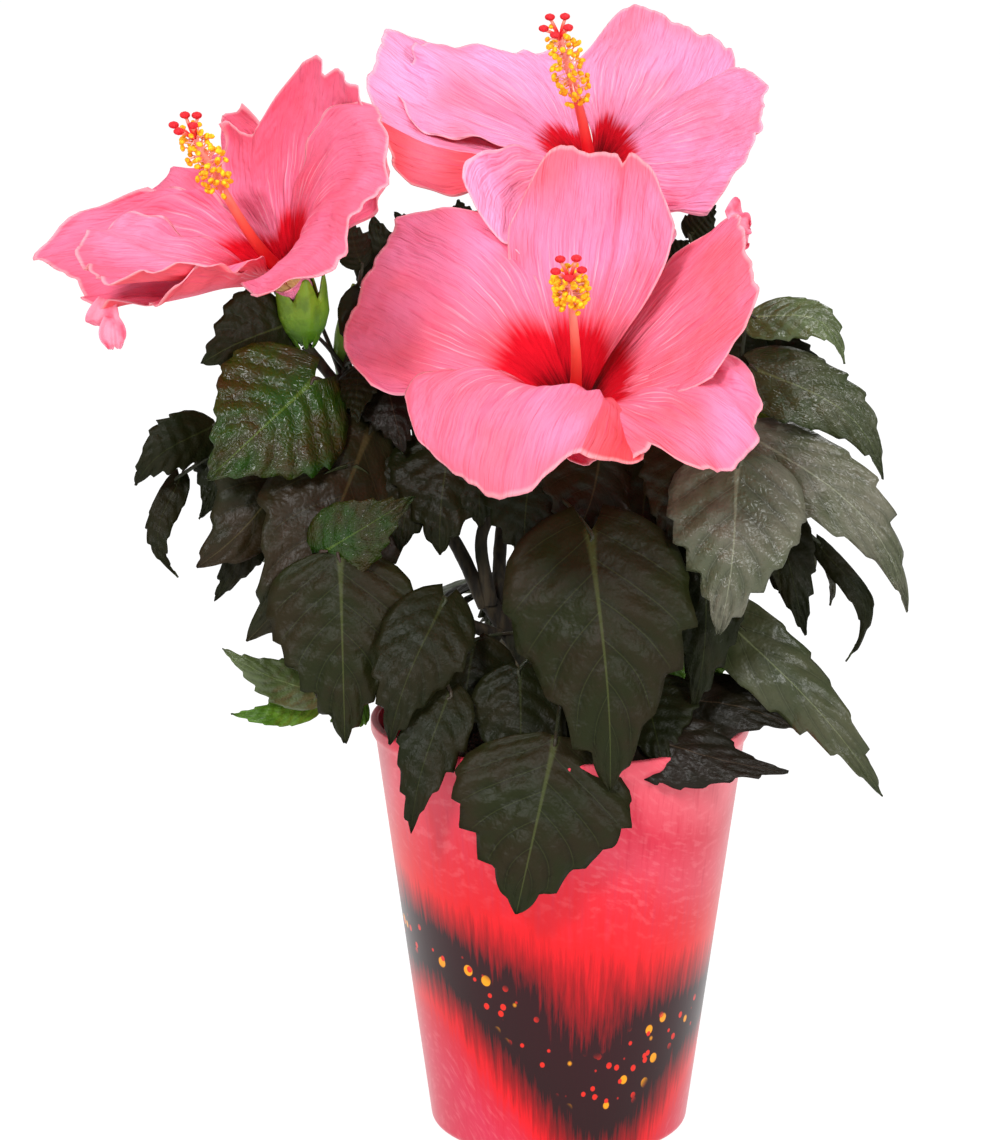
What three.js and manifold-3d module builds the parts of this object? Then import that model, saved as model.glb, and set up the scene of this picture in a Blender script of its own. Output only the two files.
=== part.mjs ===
// Potted hibiscus shrub: a tapered pot with its compost, a short woody stem that forks into boughs,
// three large open blooms and the masses of foliage round them.
// Millimetres, +Z up. The origin is the middle of the pot's flat underside, and -Y is the plant's front.
import * as THREE from 'three';
import { mergeVertices } from 'three/addons/utils/BufferGeometryUtils.js';
import Module from 'manifold-3d';

const wasm = await Module();
wasm.setup();

// ---------------------------------------------------------------- driving dimensions

const GAP = 0.55;              // clearance between neighbouring solids
const PAD_GAP = 1.2;           // clearance round thin curved pads
const TOLERANCE = 0.18;        // how far facets may move when needless ones are merged
const SNAP = 0.02;             // corners are laid on a grid this fine, so no facet is too short to close

const POT_HEIGHT = 147;
const POT_RIM_RADIUS = 65;
const POT_FOOT_RADIUS = 45;
const POT_WALL = 1.8;
const POT_FLOOR = 2.6;
const POT_SIDES = 24;
const LIP = 0.8;               // how far the rolled lip stands out
const COMPOST_TOP = 134;

const STEM_SIDES = 6;
const TUFT_RADIUS = 4.2;       // the knot of leaf stalks where a mass begins

const LEAF_THICKNESS = 1.6;
const BLADE_ROWS = 4;
const STALK_ROWS = 1;
const STALK_SHARE = STALK_ROWS / (STALK_ROWS + BLADE_ROWS);
const STALK_RADIUS = 1.4;
const LEAF_BEND = 44;          // degrees that a blade's slope steepens from base to tip
const LEAF_FOLD = 0.22;        // how far the halves of a blade drop beside the midrib

const PETAL_THICKNESS = 1.6;
const PETAL_ROWS = 5;
const PETAL_COLUMNS = 4;
const PETAL_CLAW = 0.13;       // width of the narrow foot, as a share of the full width
const PETAL_ROUND = 0.26;      // how far the corners of the free end fall back
const PETAL_FOOT = 4;          // distance of the petals' feet from the bloom's axis
const PETAL_START = 2;         // height of the petals' feet, inside the neck
const NECK_RADIUS = 7;
const NECK_HEIGHT = 6;

const CALYX_HEIGHT = 22;
const CALYX_RADIUS = 9;
const CALYX_SIDES = 10;
const SEPALS = 5;
const SEPAL_RISE = 9;          // height of a sepal's point over the cup
const COLUMN_RADIUS = 1.9;

// ---------------------------------------------------------------- solids

const UP = new THREE.Vector3(0, 0, 1);
const vec = (x, y, z) => new THREE.Vector3(x, y, z);
const rad = THREE.MathUtils.degToRad;

// A closed solid from a geometry whose coinciding vertices are one and whose flat slivers are dropped.
function solid(geometry) {
  geometry.deleteAttribute('normal');
  geometry.deleteAttribute('uv');
  const merged = mergeVertices(geometry, 1e-4);
  const corners = merged.index.array;
  const kept = [];
  for (let i = 0; i < corners.length; i += 3) {
    const [a, b, c] = corners.slice(i, i + 3);
    if (a !== b && b !== c && c !== a) kept.push(a, b, c);
  }
  return new wasm.Manifold(new wasm.Mesh({
    numProp: 3,
    vertProperties: new Float32Array(merged.attributes.position.array),
    triVerts: new Uint32Array(kept),
  }));
}

// The same solid with its corners laid on the fine grid.
function snapped(body) {
  const { vertProperties, triVerts } = body.getMesh();
  const laid = vertProperties.map((value) => Math.round(value / SNAP) * SNAP);
  const geometry = new THREE.BufferGeometry();
  geometry.setAttribute('position', new THREE.BufferAttribute(laid, 3));
  geometry.setIndex(new THREE.BufferAttribute(triVerts, 1));
  return solid(geometry);
}

function join(solids) {
  return solids.reduce((whole, piece) => whole.add(piece));
}

// The largest closed body of a solid that cuts may have left in several.
function largest(whole) {
  const bodies = whole.decompose();
  return bodies.reduce((best, body) => (body.volume() > best.volume() ? body : best));
}

function boxesMeet(a, b) {
  const one = a.boundingBox();
  const two = b.boundingBox();
  return [0, 1, 2].every((i) => one.min[i] < two.max[i] && two.min[i] < one.max[i]);
}

// What is left of a solid clear of its neighbours, as one body with few facets.
function cutBy(whole, cutters) {
  const near = cutters.filter((cutter) => boxesMeet(whole, cutter));
  const plain = whole.asOriginal().simplify(TOLERANCE);
  const cleared = near.reduce((rest, cutter) => rest.subtract(cutter), plain);
  return largest(snapped(cleared.asOriginal().simplify(TOLERANCE)));
}

function displace(geometry, place) {
  const position = geometry.attributes.position;
  for (let i = 0; i < position.count; i += 1) {
    const moved = place(position.getX(i), position.getY(i), position.getZ(i));
    position.setXYZ(i, moved.x, moved.y, moved.z);
  }
  return geometry;
}

// A tapering round limb along a curve through the points. It is a cylinder bent to the curve.
function limb(points, startRadius, endRadius, { sides = STEM_SIDES, steps = 4, grow = 0, flare = 0 } = {}) {
  const curve = new THREE.CatmullRomCurve3(points);
  const chord = points[points.length - 1].clone().sub(points[0]).normalize();
  const lay = Math.abs(chord.x) < 0.7 ? vec(1, 0, 0) : vec(0, 1, 0);
  return solid(displace(new THREE.CylinderGeometry(1, 1, 1, sides, steps), (x, y, z) => {
    const s = y + 0.5;
    const along = curve.getTangent(s);
    const across = lay.clone().addScaledVector(along, -lay.dot(along)).normalize();
    const third = across.clone().cross(along);
    const radius = startRadius + (endRadius - startRadius) * s + flare * (1 - s) ** 6 + grow;
    const ends = s === 0 ? -grow : s === 1 ? grow : 0;
    return curve.getPoint(s)
      .addScaledVector(along, ends)
      .addScaledVector(across, x * radius)
      .addScaledVector(third, z * radius);
  }));
}

function ball(centre, radius, { detail = 0, grow = 0, height = 1 } = {}) {
  return solid(displace(new THREE.IcosahedronGeometry(1, detail), (x, y, z) => centre.clone()
    .addScaledVector(vec(x, y, z * height), radius + grow)));
}

// A box whose two broad faces are split along the same diagonals, so that they stay apart when it is
// twisted.
function evenBox(columns, rows) {
  const box = new THREE.BoxGeometry(1, 1, 1, columns, rows, 1);
  const corners = box.index.array;
  const back = box.groups[5];
  for (let i = back.start; i < back.start + back.count; i += 6) {
    const [a, b, d, , c] = corners.slice(i, i + 6);
    corners.set([a, b, c, a, c, d], i);
  }
  return box;
}

// A thin pad with sharp edges. At s along it and t across it, place gives the point there and the
// directions along, across and out of the pad.
function pad(rows, columns, thickness, place, grow) {
  return solid(displace(evenBox(columns, rows), (x, y, z) => {
    const t = 2 * x;
    const { point, along, across, normal } = place(y + 0.5, t);
    const edge = Math.max(Math.abs(t), Math.abs(2 * y)) ** 4;
    const half = (thickness / 2) * (1 - edge) + grow;
    const ends = Math.abs(y) === 0.5 ? 2 * y * grow : 0;
    return point.addScaledVector(normal, 2 * z * half)
      .addScaledVector(across, t * grow)
      .addScaledVector(along, ends);
  }));
}

// ---------------------------------------------------------------- leaves

// Share of the full width at s along an ovate leaf that narrows to a point.
function leafWidth(s) {
  return 1.18 * Math.sin(Math.PI * s ** 0.72) * (1 - 0.42 * s);
}

// A leaf is [x, y, z of the blade's base, heading, drop, length, width, roll], with angles in degrees.
// Its stalk comes from the tuft, and stalk and blade are one pad.
function leafPad([x, y, z, heading, drop, length, width, roll], tuft, grow = 0) {
  const base = vec(x, y, z);
  const level = vec(Math.cos(rad(heading)), Math.sin(rad(heading)), 0);
  const slope = (s) => rad(drop + LEAF_BEND * (s - 0.5));
  const arch = tuft.clone().lerp(base, 0.5).addScaledVector(UP, 0.15 * tuft.distanceTo(base));
  const stalk = new THREE.QuadraticBezierCurve3(tuft, arch, base);

  const onStalk = (s, t) => {
    const point = stalk.getPoint(s);
    const along = stalk.getTangent(s);
    const across = along.clone().cross(UP).normalize();
    point.addScaledVector(across, t * STALK_RADIUS);
    return { point, along, across, normal: across.clone().cross(along) };
  };
  const onBlade = (s, t) => {
    const point = base.clone();
    const steps = 8;
    for (let i = 0; i < steps; i += 1) {
      const angle = slope((s * (i + 0.5)) / steps);
      point.addScaledVector(level, (Math.cos(angle) * length * s) / steps);
      point.addScaledVector(UP, (-Math.sin(angle) * length * s) / steps);
    }
    const angle = slope(s);
    const along = level.clone().multiplyScalar(Math.cos(angle)).addScaledVector(UP, -Math.sin(angle));
    const across = level.clone().cross(UP).applyAxisAngle(along, rad(roll * Math.min(1, 3 * s)));
    const normal = across.clone().cross(along);
    const half = Math.max((width / 2) * leafWidth(s), s < 0.5 ? STALK_RADIUS : 0);
    point.addScaledVector(across, t * half).addScaledVector(normal, -LEAF_FOLD * Math.abs(t) * half);
    return { point, along, across, normal };
  };
  const place = (s, t) => (s < STALK_SHARE ? onStalk(s / STALK_SHARE, t)
    : onBlade((s - STALK_SHARE) / (1 - STALK_SHARE), t));
  return pad(STALK_ROWS + BLADE_ROWS, 2, LEAF_THICKNESS, place, grow);
}

// ---------------------------------------------------------------- blooms

// A bloom's own frame: z along its axis, x level, y up and back. toWorld turns its points into the part's.
function bloomFrame(centre, axis) {
  const z = axis.clone().normalize();
  const x = vec(1, 0, 0).addScaledVector(z, -z.x).normalize();
  const y = z.clone().cross(x);
  return {
    toWorld: (p) => centre.clone().addScaledVector(x, p.x).addScaledVector(y, p.y).addScaledVector(z, p.z),
    turn: (p) => x.clone().multiplyScalar(p.x).addScaledVector(y, p.y).addScaledVector(z, p.z),
    matrix: new THREE.Matrix4().makeBasis(x, y, z).setPosition(centre),
  };
}

// Distance from the axis, height and opening angle at s along the middle of a petal.
function petalMiddle({ open, curl, length }, s) {
  const slope = (k) => rad(8 + (open - 8) * (1 - Math.exp(-5 * k)) + curl * k ** 3);
  const steps = 24;
  let radius = PETAL_FOOT;
  let height = PETAL_START;
  for (let i = 0; i < steps; i += 1) {
    const angle = slope((s * (i + 0.5)) / steps);
    radius += (Math.sin(angle) * length * s) / steps;
    height += (Math.cos(angle) * length * s) / steps;
  }
  return { radius, height, angle: slope(s) };
}

// A petal widens from a narrow claw to a broad rounded end and wraps round the bloom's funnel.
function petalPad(petal, frame, grow = 0) {
  const place = (s, t) => {
    const corner = (at) => Math.exp(-(((t - at) / 0.3) ** 2));
    const drawn = petal.leftTip * corner(-0.6) + petal.rightTip * corner(0.6);
    const reach = s * (1 - PETAL_ROUND * Math.abs(t) ** 2.4 + drawn);
    const { radius, height, angle } = petalMiddle(petal, reach);
    const spread = PETAL_CLAW + (1 - PETAL_CLAW) * Math.sin((Math.PI / 2) * Math.min(1, reach / 0.74)) ** 2;
    const half = (petal.width / 2) * spread;
    const wrap = radius * (1 + 0.8 * reach ** 2);
    const turn = (t * half) / wrap;
    const lift = petal.tilt * t * half
      + half * (petal.left * Math.max(0, -t - 0.15) ** 2 + petal.right * Math.max(0, t - 0.15) ** 2);
    const outFrom = radius - wrap * (1 - Math.cos(turn)) - Math.cos(angle) * lift;
    const aside = wrap * Math.sin(turn);
    const azimuth = rad(petal.azimuth + petal.skew * reach);
    const [cos, sin] = [Math.cos(azimuth), Math.sin(azimuth)];
    const rise = height + Math.sin(angle) * lift;
    const point = vec(outFrom * cos - aside * sin, outFrom * sin + aside * cos, rise);
    const facing = azimuth + turn;
    const out = vec(Math.cos(facing), Math.sin(facing), 0);
    const along = out.clone().multiplyScalar(Math.sin(angle)).addScaledVector(UP, Math.cos(angle));
    const normal = out.clone().multiplyScalar(Math.cos(angle)).addScaledVector(UP, -Math.sin(angle));
    const across = vec(-Math.sin(facing), Math.cos(facing), 0);
    return {
      point: frame.toWorld(point),
      along: frame.turn(along),
      across: frame.turn(across),
      normal: frame.turn(normal),
    };
  };
  return pad(PETAL_ROWS, PETAL_COLUMNS, PETAL_THICKNESS, place, grow);
}

function lathe(profile, sides, matrix = new THREE.Matrix4()) {
  const turned = new THREE.LatheGeometry(profile.map(([r, z]) => new THREE.Vector2(r, z)), sides);
  turned.rotateX(Math.PI / 2);
  return solid(turned.applyMatrix4(matrix));
}

// The neck in which the petals' feet meet, under the column.
function neckSolid(frame, grow = 0) {
  const [foot, top, side] = [GAP - grow, NECK_HEIGHT + grow, NECK_RADIUS + grow];
  return lathe([[0, foot], [side, foot], [side - 0.5, top], [0, top]], 10, frame.matrix);
}

// The staminal column: a slender rod to the cluster of anthers and the tuft of stigmas at its end.
function columnSolid({ columnTip }, frame, grow = 0) {
  const start = frame.toWorld(vec(0, 0, NECK_HEIGHT + GAP));
  const bend = frame.toWorld(vec(0, 0, 30));
  const along = columnTip.clone().sub(bend).normalize();
  const anthers = columnTip.clone().addScaledVector(along, -13);
  const stigmas = columnTip.clone().addScaledVector(along, -4);
  return join([
    limb([start, bend, anthers, stigmas], COLUMN_RADIUS, 1.3, { grow }),
    ball(anthers, 8, { detail: 1, grow, height: 1.15 }),
    ball(stigmas, 5, { grow, height: 0.8 }),
  ]);
}

// The green cup under the petals. Its rim rises to the points of its five sepals.
function calyxSolid({ centre, stalk }, grow = 0) {
  const frame = bloomFrame(centre, stalk);
  const [radius, height, top] = [CALYX_RADIUS, CALYX_HEIGHT, -GAP];
  const cup = new THREE.LatheGeometry([
    [0, -height - grow], [2.4 + grow, -height - grow], [0.66 * radius + grow, -0.78 * height],
    [0.95 * radius + grow, -0.45 * height], [radius + grow, top],
    [radius - 1.6 - grow, top + grow], [0, top + grow],
  ].map(([r, z]) => new THREE.Vector2(r, z)), CALYX_SIDES).rotateX(Math.PI / 2);
  return solid(displace(cup, (x, y, z) => {
    const onRim = Math.abs(z - top) < 1e-3 && Math.hypot(x, y) > radius - 0.5;
    const point = Math.max(0, Math.cos(SEPALS * Math.atan2(y, x))) ** 1.5;
    const rise = onRim ? SEPAL_RISE * point + grow : 0;
    const spread = 1 + (onRim ? 0.16 * point : 0);
    return frame.toWorld(vec(x * spread, y * spread, z + rise));
  }));
}

// Each petal is [azimuth, open, curl, length, width, tilt, left, right, skew, leftTip, rightTip]:
// where it points round the axis, how far it opens and recurves, its size, how one edge lies over its
// neighbour, how its two sides fold, its drift round the axis, and its drawn-out corners.
const petalFrom = ([azimuth, open, curl, length, width, tilt, left, right, skew, leftTip, rightTip]) => ({
  azimuth, open, curl, length, width, tilt, left, right, skew, leftTip, rightTip,
});

const BLOOMS = {
  front: {
    centre: vec(3.5, -27, 255),
    axis: vec(0.02, -0.67, 0.74),
    stalk: vec(0, -0.35, 0.94),
    columnTip: vec(1, -83, 317),
    petals: [
      [85, 65, 0, 90, 57, -0.2, 0.3, -0.2, -1, 0.04, 0.08],
      [154, 95, 23, 93, 76, -0.3, 0, 0.5, -11, 0.13, 0.01],
      [231, 30, 121, 107, 92, 0.37, -0.21, -0.89, 17, 0.11, -0.04],
      [308, 40, 60, 92, 82, -0.3, -0.5, 0.1, 5, 0.06, 0],
      [20, 58, -9, 82, 68, -0.2, -0.1, -0.6, 5, -0.01, 0.12],
    ],
  },
  left: {
    centre: vec(-89, 4, 295),
    axis: vec(-0.46, -0.58, 0.67),
    stalk: vec(-0.09, -0.05, 1),
    columnTip: vec(-124, -38, 358),
    petals: [
      [61, 60, -34, 80, 85, -0.2, -0.7, 0.2, -16, 0.05, -0.26],
      [-4, 48, 28, 100, 84, 0, 0.1, 0, -27, 0.16, 0.03],
      [129, 84, 56, 87, 73, 0.2, 0.4, 0.6, 1, 0.05, 0.05],
      [184, 63, 2, 73, 79, 0.1, 0.2, 1, 6, 0.26, -0.13],
      [229, 37, -2, 86, 59, 0, 0.2, 0.3, -6, 0, 0],
    ],
  },
  top: {
    centre: vec(12, 58, 324),
    axis: vec(-0.13, -0.645, 0.753),
    stalk: vec(-0.1, -0.4, 0.9),
    columnTip: vec(-2, 2, 386),
    petals: [
      [43, 96, -2, 70, 69, 0, 0.2, -0.4, 19, 0.07, 0.19],
      [351, 68, -22, 81, 68, 0.1, -0.4, -0.6, -4, 0.07, -0.07],
      [136, 88, 7, 81, 73, 0.3, -0.3, 0, 1, -0.14, 0],
      [172, 89, -15, 89, 74, 0.1, -0.7, -0.2, -19, 0.11, -0.08],
      [255, 78, 1, 79, 74, -0.2, 0.5, 0, 12, -0.03, 0],
    ],
  },
};

// ---------------------------------------------------------------- pot and compost

const potRadius = (z) => POT_FOOT_RADIUS + ((POT_RIM_RADIUS - POT_FOOT_RADIUS) * z) / POT_HEIGHT;

function potSolid() {
  const top = POT_HEIGHT;
  const inFoot = potRadius(POT_FLOOR) - POT_WALL;
  return lathe([
    [0, 0], [POT_FOOT_RADIUS - 2, 0], [POT_FOOT_RADIUS - 0.5, 0.6], [potRadius(2.5), 2.5],
    [potRadius(top - 5), top - 5], [POT_RIM_RADIUS + LIP, top - 3.5], [POT_RIM_RADIUS + LIP, top - 0.8],
    [POT_RIM_RADIUS, top], [POT_RIM_RADIUS - POT_WALL, top], [potRadius(top - 5) - POT_WALL, top - 5],
    [inFoot, POT_FLOOR + 1], [inFoot - 1.5, POT_FLOOR], [0, POT_FLOOR],
  ], POT_SIDES);
}

// The room that the pot takes up, filled and grown by the gap: no leaf or bloom enters it.
function potRoom() {
  const lip = POT_RIM_RADIUS + LIP + GAP;
  return lathe([
    [0, -GAP], [potRadius(0) + GAP, -GAP], [potRadius(POT_HEIGHT - 5) + GAP, POT_HEIGHT - 5],
    [lip, POT_HEIGHT - 3.7], [lip, POT_HEIGHT + GAP], [0, POT_HEIGHT + GAP],
  ], POT_SIDES);
}

function compostSolid() {
  const clear = POT_WALL + GAP + 0.3;
  const foot = POT_FLOOR + GAP;
  const rim = potRadius(COMPOST_TOP) - clear;
  return lathe([
    [0, foot], [potRadius(foot) - clear - 2, foot], [potRadius(foot + 3) - clear, foot + 3],
    [rim, COMPOST_TOP - 1], [rim - 3, COMPOST_TOP], [0, COMPOST_TOP],
  ], POT_SIDES);
}

// Everything below this is compost and the gap over it, so the stem's foot is cut off flat there.
function compostRoom() {
  const [side, level] = [POT_RIM_RADIUS, COMPOST_TOP + GAP];
  return lathe([[0, 0], [side, 0], [side, level], [0, level]], POT_SIDES);
}

// ---------------------------------------------------------------- stem and boughs

// Where a bloom's stalk ends, just under its calyx.
function stalkFoot({ centre, stalk }) {
  return centre.clone().addScaledVector(stalk.clone().normalize(), -CALYX_HEIGHT - GAP);
}

const FORK = vec(-25, 0, 188);
const LIMBS = {
  stem_main: { path: [vec(5, 4, COMPOST_TOP - 4), vec(-5, 3, 155), FORK], radii: [4.6, 3.9], flare: 3 },
  bough_left: {
    path: [vec(-26, 0, 186), vec(-38, 1, 211), vec(-64, 6, 246), stalkFoot(BLOOMS.left)],
    radii: [3.2, 1.8],
  },
  bough_front: {
    path: [vec(-24, -2, 187), vec(-27, -1, 212), vec(-14, -1, 228), stalkFoot(BLOOMS.front)],
    radii: [2.8, 1.8],
  },
  bough_top: {
    path: [vec(-22, 3, 184), vec(-18, 20, 220), vec(2, 54, 262), stalkFoot(BLOOMS.top)],
    radii: [3, 1.8],
  },
  bough_right: {
    path: [vec(-16, 4, 181), vec(8, 6, 205), vec(40, 3, 232), vec(63, 4, 260)], radii: [2.9, 1.8],
  },
  bough_low_right: { path: [vec(-7, 0, 166), vec(14, -6, 176), vec(44, -16, 193)], radii: [2.4, 1.7] },
  bough_low_left: { path: [vec(-21, -3, 176), vec(-46, -10, 188), vec(-70, -22, 205)], radii: [2.4, 1.7] },
  bough_rear: { path: [vec(-9, 5, 166), vec(-12, 28, 195), vec(-14, 52, 232)], radii: [2.6, 1.7] },
};

// ---------------------------------------------------------------- foliage masses

// A small repeatable random sequence for the leaves of the hidden sides.
function sequence(seed) {
  let state = seed;
  return (low, high) => {
    state = (state * 1664525 + 1013904223) % 4294967296;
    return low + ((high - low) * state) / 4294967296;
  };
}

// Leaves fanned from one heading to another, hanging outwards round a centre.
function fan(seed, count, centre, from, to, reach) {
  const random = sequence(seed);
  return Array.from({ length: count }, (_, i) => {
    const heading = from + ((to - from) * (i + 0.5)) / count + random(-8, 8);
    const out = reach * random(0.25, 0.55);
    const x = centre.x + out * Math.cos(rad(heading));
    const y = centre.y + out * Math.sin(rad(heading));
    const z = centre.z + random(-12, 14);
    const length = reach * random(0.9, 1.15);
    const width = length * random(0.62, 0.74);
    return [x, y, z, heading, random(28, 55), length, width, random(-15, 15)];
  });
}

// Each mass springs from a bough, at a share of its length, towards a heading; its stalks carry the leaves.
const MASSES = {
  foliage_front: {
    on: 'bough_front', at: 0.55, heading: -72,
    leaves: [
      [8, -48, 224, -77, 65, 88, 64, 0],
      [-13, -46, 180, -97, 55, 45, 32, 0],
      [14, -20, 240, -104, 43, 39, 38, 0],
      [-21, -16, 240, -92, 54, 41, 34, 0],
    ],
  },
  foliage_front_low: {
    on: 'bough_low_right', at: 0.25, heading: -95,
    leaves: [
      [-4, -60, 157, -119, 62, 61, 62, 0],
      [-24, -24, 177, -112, 42, 43, 34, 0],
      [25, -44, 160, -5, 20, 53, 28, 30],
      [32, -24, 158, 5, 13, 48, 28, 20],
    ],
  },
  foliage_left: {
    on: 'bough_left', at: 0.72, heading: -130,
    leaves: [
      [-84, -10, 268, -138, 37, 48, 50, -30],
      [-113, 0, 250, -155, 32, 39, 34, -50],
      [-120, 6, 236, -134, 66, 41, 20, -30],
      [-64, -8, 248, -164, 33, 60, 42, -60],
    ],
  },
  foliage_upper_left: {
    on: 'bough_left', at: 0.86, heading: 60,
    leaves: [
      [-92, 4, 281, -160, 15, 37, 34, -45],
      [-70, 14, 276, 65, -50, 38, 26, 0],
      [-62, 2, 268, -60, 40, 38, 28, 0],
    ],
  },
  foliage_mid_left: {
    on: 'bough_low_left', at: 0.95, heading: 150,
    leaves: [
      [-84, -20, 222, -138, 54, 51, 36, -30],
      [-92, 2, 228, -150, 48, 46, 34, -30],
      [-40, -14, 232, -113, 52, 40, 34, 0],
    ],
  },
  foliage_low_left: {
    on: 'bough_low_left', at: 0.6, heading: -110,
    leaves: [
      [-75, -30, 211, -85, 64, 65, 50, 0],
      [-39, -24, 190, -123, 50, 55, 36, -10],
      [-77, -36, 213, -31, -30, 36, 24, 60],
      [-80, -8, 158, 177, -20, 39, 24, -50],
      [-76, 6, 154, 173, 13, 36, 18, -30],
      [-38, -56, 170, -123, 62, 50, 26, 0],
      [-46, -26, 161, -163, 14, 32, 18, -20],
    ],
  },
  foliage_upper_right: {
    on: 'bough_right', at: 0.93, heading: -20,
    leaves: [
      [68, 6, 283, -25, 12, 34, 26, 50],
      [66, -6, 268, -24, 38, 57, 36, 50],
      [66, 10, 256, -31, 37, 29, 20, 40],
      [62, 16, 276, 20, 20, 30, 24, 30],
    ],
  },
  foliage_right: {
    on: 'bough_right', at: 0.66, heading: -40,
    leaves: [
      [64, -6, 244, -14, 44, 79, 42, 55],
      [55, -36, 240, -98, 57, 56, 50, 0],
      [77, 0, 218, -60, 71, 44, 28, 30],
      [89, 12, 206, -28, 68, 40, 18, 0],
    ],
  },
  foliage_low_right: {
    on: 'bough_low_right', at: 0.9, heading: -20,
    leaves: [
      [60, -16, 188, -21, 46, 78, 42, 55],
      [44, -34, 217, -92, 60, 57, 34, 0],
      [45, 6, 187, -80, 60, 34, 26, 0],
    ],
  },
  foliage_top: {
    on: 'bough_top', at: 0.8, heading: 150,
    leaves: [
      [-24, 42, 290, -159, -36, 34, 24, 0],
      [-30, 44, 280, -170, -24, 42, 28, -20],
      [27, 44, 286, -26, -40, 38, 28, 20],
      [34, 52, 286, 10, -36, 34, 22, 0],
    ],
  },
  foliage_back_left: {
    on: 'bough_left', at: 0.5, heading: 100, leaves: fan(11, 5, vec(-52, 28, 226), 95, 195, 58),
  },
  foliage_back_right: {
    on: 'bough_right', at: 0.5, heading: 80, leaves: fan(23, 5, vec(34, 26, 226), -5, 92, 60),
  },
  foliage_back_high: {
    on: 'bough_top', at: 0.6, heading: 100, leaves: fan(37, 4, vec(-8, 58, 266), 35, 165, 50),
  },
  foliage_back_low: {
    on: 'bough_rear', at: 0.35, heading: 60, leaves: fan(41, 5, vec(-6, 38, 186), 25, 170, 56),
  },
};

// The tuft of leaf stalks on the side of its bough where a mass begins.
function tuftPlace({ on, at, heading }) {
  const { path, radii } = LIMBS[on];
  const away = vec(Math.cos(rad(heading)), Math.sin(rad(heading)), 0.2).normalize();
  return new THREE.CatmullRomCurve3(path).getPoint(at).addScaledVector(away, radii[0] + TUFT_RADIUS - 1.4);
}

function massSolid(mass, grow = 0) {
  const tuft = tuftPlace(mass);
  return join([ball(tuft, TUFT_RADIUS, { grow }), ...mass.leaves.map((leaf) => leafPad(leaf, tuft, grow))]);
}

// ---------------------------------------------------------------- assembly

const MATERIALS = {
  pot: { color: 0xd8435f, roughness: 0.25 },
  compost: { color: 0x2a1d14, roughness: 0.95 },
  stem: { color: 0x3f4a24, roughness: 0.75 },
  petals: { color: 0xf0608f, roughness: 0.55 },
  column: { color: 0xf2a33c, roughness: 0.6 },
  calyx: { color: 0x4c7a1e, roughness: 0.5 },
  foliage: { color: 0x26331f, roughness: 0.45 },
};

const plant = new THREE.Group();

function addNode(name, body, kind) {
  const { vertProperties, triVerts } = body.getMesh();
  const geometry = new THREE.BufferGeometry();
  geometry.setAttribute('position', new THREE.BufferAttribute(vertProperties, 3));
  geometry.setIndex(new THREE.BufferAttribute(triVerts, 1));
  geometry.computeVertexNormals();
  const material = new THREE.MeshStandardMaterial({ ...MATERIALS[kind], metalness: 0 });
  const mesh = new THREE.Mesh(geometry, material);
  mesh.name = name;
  plant.add(mesh);
}

addNode('pot', potSolid(), 'pot');
addNode('compost', compostSolid(), 'compost');

// Later solids are cut clear of these grown copies of the earlier ones.
const taken = [compostRoom()];

for (const [name, { path, radii: [start, end], flare = 0 }] of Object.entries(LIMBS)) {
  const body = cutBy(limb(path, start, end, { flare }), taken);
  addNode(name, body, 'stem');
  taken.push(limb(path, start, end, { flare, grow: GAP }));
}

taken.push(potRoom());

for (const [place, bloom] of Object.entries(BLOOMS)) {
  const frame = bloomFrame(bloom.centre, bloom.axis);
  const petals = bloom.petals.map(petalFrom);
  const column = columnSolid(bloom, frame);
  addNode(`bloom_${place}_column`, cutBy(column, taken), 'column');
  taken.push(columnSolid(bloom, frame, GAP));
  const corolla = join([neckSolid(frame), ...petals.map((petal) => petalPad(petal, frame))]);
  addNode(`bloom_${place}_petals`, cutBy(corolla, taken), 'petals');
  taken.push(join([neckSolid(frame, GAP), ...petals.map((petal) => petalPad(petal, frame, PAD_GAP))]));
  addNode(`bloom_${place}_calyx`, cutBy(calyxSolid(bloom), taken), 'calyx');
  taken.push(calyxSolid(bloom, GAP));
}

for (const [name, mass] of Object.entries(MASSES)) {
  addNode(name, cutBy(massSolid(mass), taken), 'foliage');
  taken.push(massSolid(mass, PAD_GAP));
}

export default plant;
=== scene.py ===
# %% [markdown]
# # A hibiscus shrub in its pot
#
# The plant has a few thin woody limbs, large drooping toothed leaves and three open blooms of five
# petals each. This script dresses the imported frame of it: every solid of the frame is a plain
# stand-in, and each cell below makes the piece that takes its place. Lengths are written in
# millimetres, as on a drawing, and turned into metres when a mesh is made.

# %% Load the frame
import math

import bpy
import numpy as np
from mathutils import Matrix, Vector


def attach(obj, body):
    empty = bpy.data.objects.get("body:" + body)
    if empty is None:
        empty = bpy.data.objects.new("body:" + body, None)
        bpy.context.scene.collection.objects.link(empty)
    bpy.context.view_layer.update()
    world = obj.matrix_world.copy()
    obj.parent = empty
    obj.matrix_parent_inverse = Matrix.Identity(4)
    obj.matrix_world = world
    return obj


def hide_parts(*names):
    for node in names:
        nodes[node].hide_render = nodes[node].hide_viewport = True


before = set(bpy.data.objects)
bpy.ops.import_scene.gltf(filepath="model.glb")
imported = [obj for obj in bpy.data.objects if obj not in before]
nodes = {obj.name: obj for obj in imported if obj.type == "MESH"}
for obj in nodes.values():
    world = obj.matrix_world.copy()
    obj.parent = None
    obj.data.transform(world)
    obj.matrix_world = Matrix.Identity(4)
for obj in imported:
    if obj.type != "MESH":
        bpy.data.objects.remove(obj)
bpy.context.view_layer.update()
print("frame:", len(nodes), "nodes")

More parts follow.
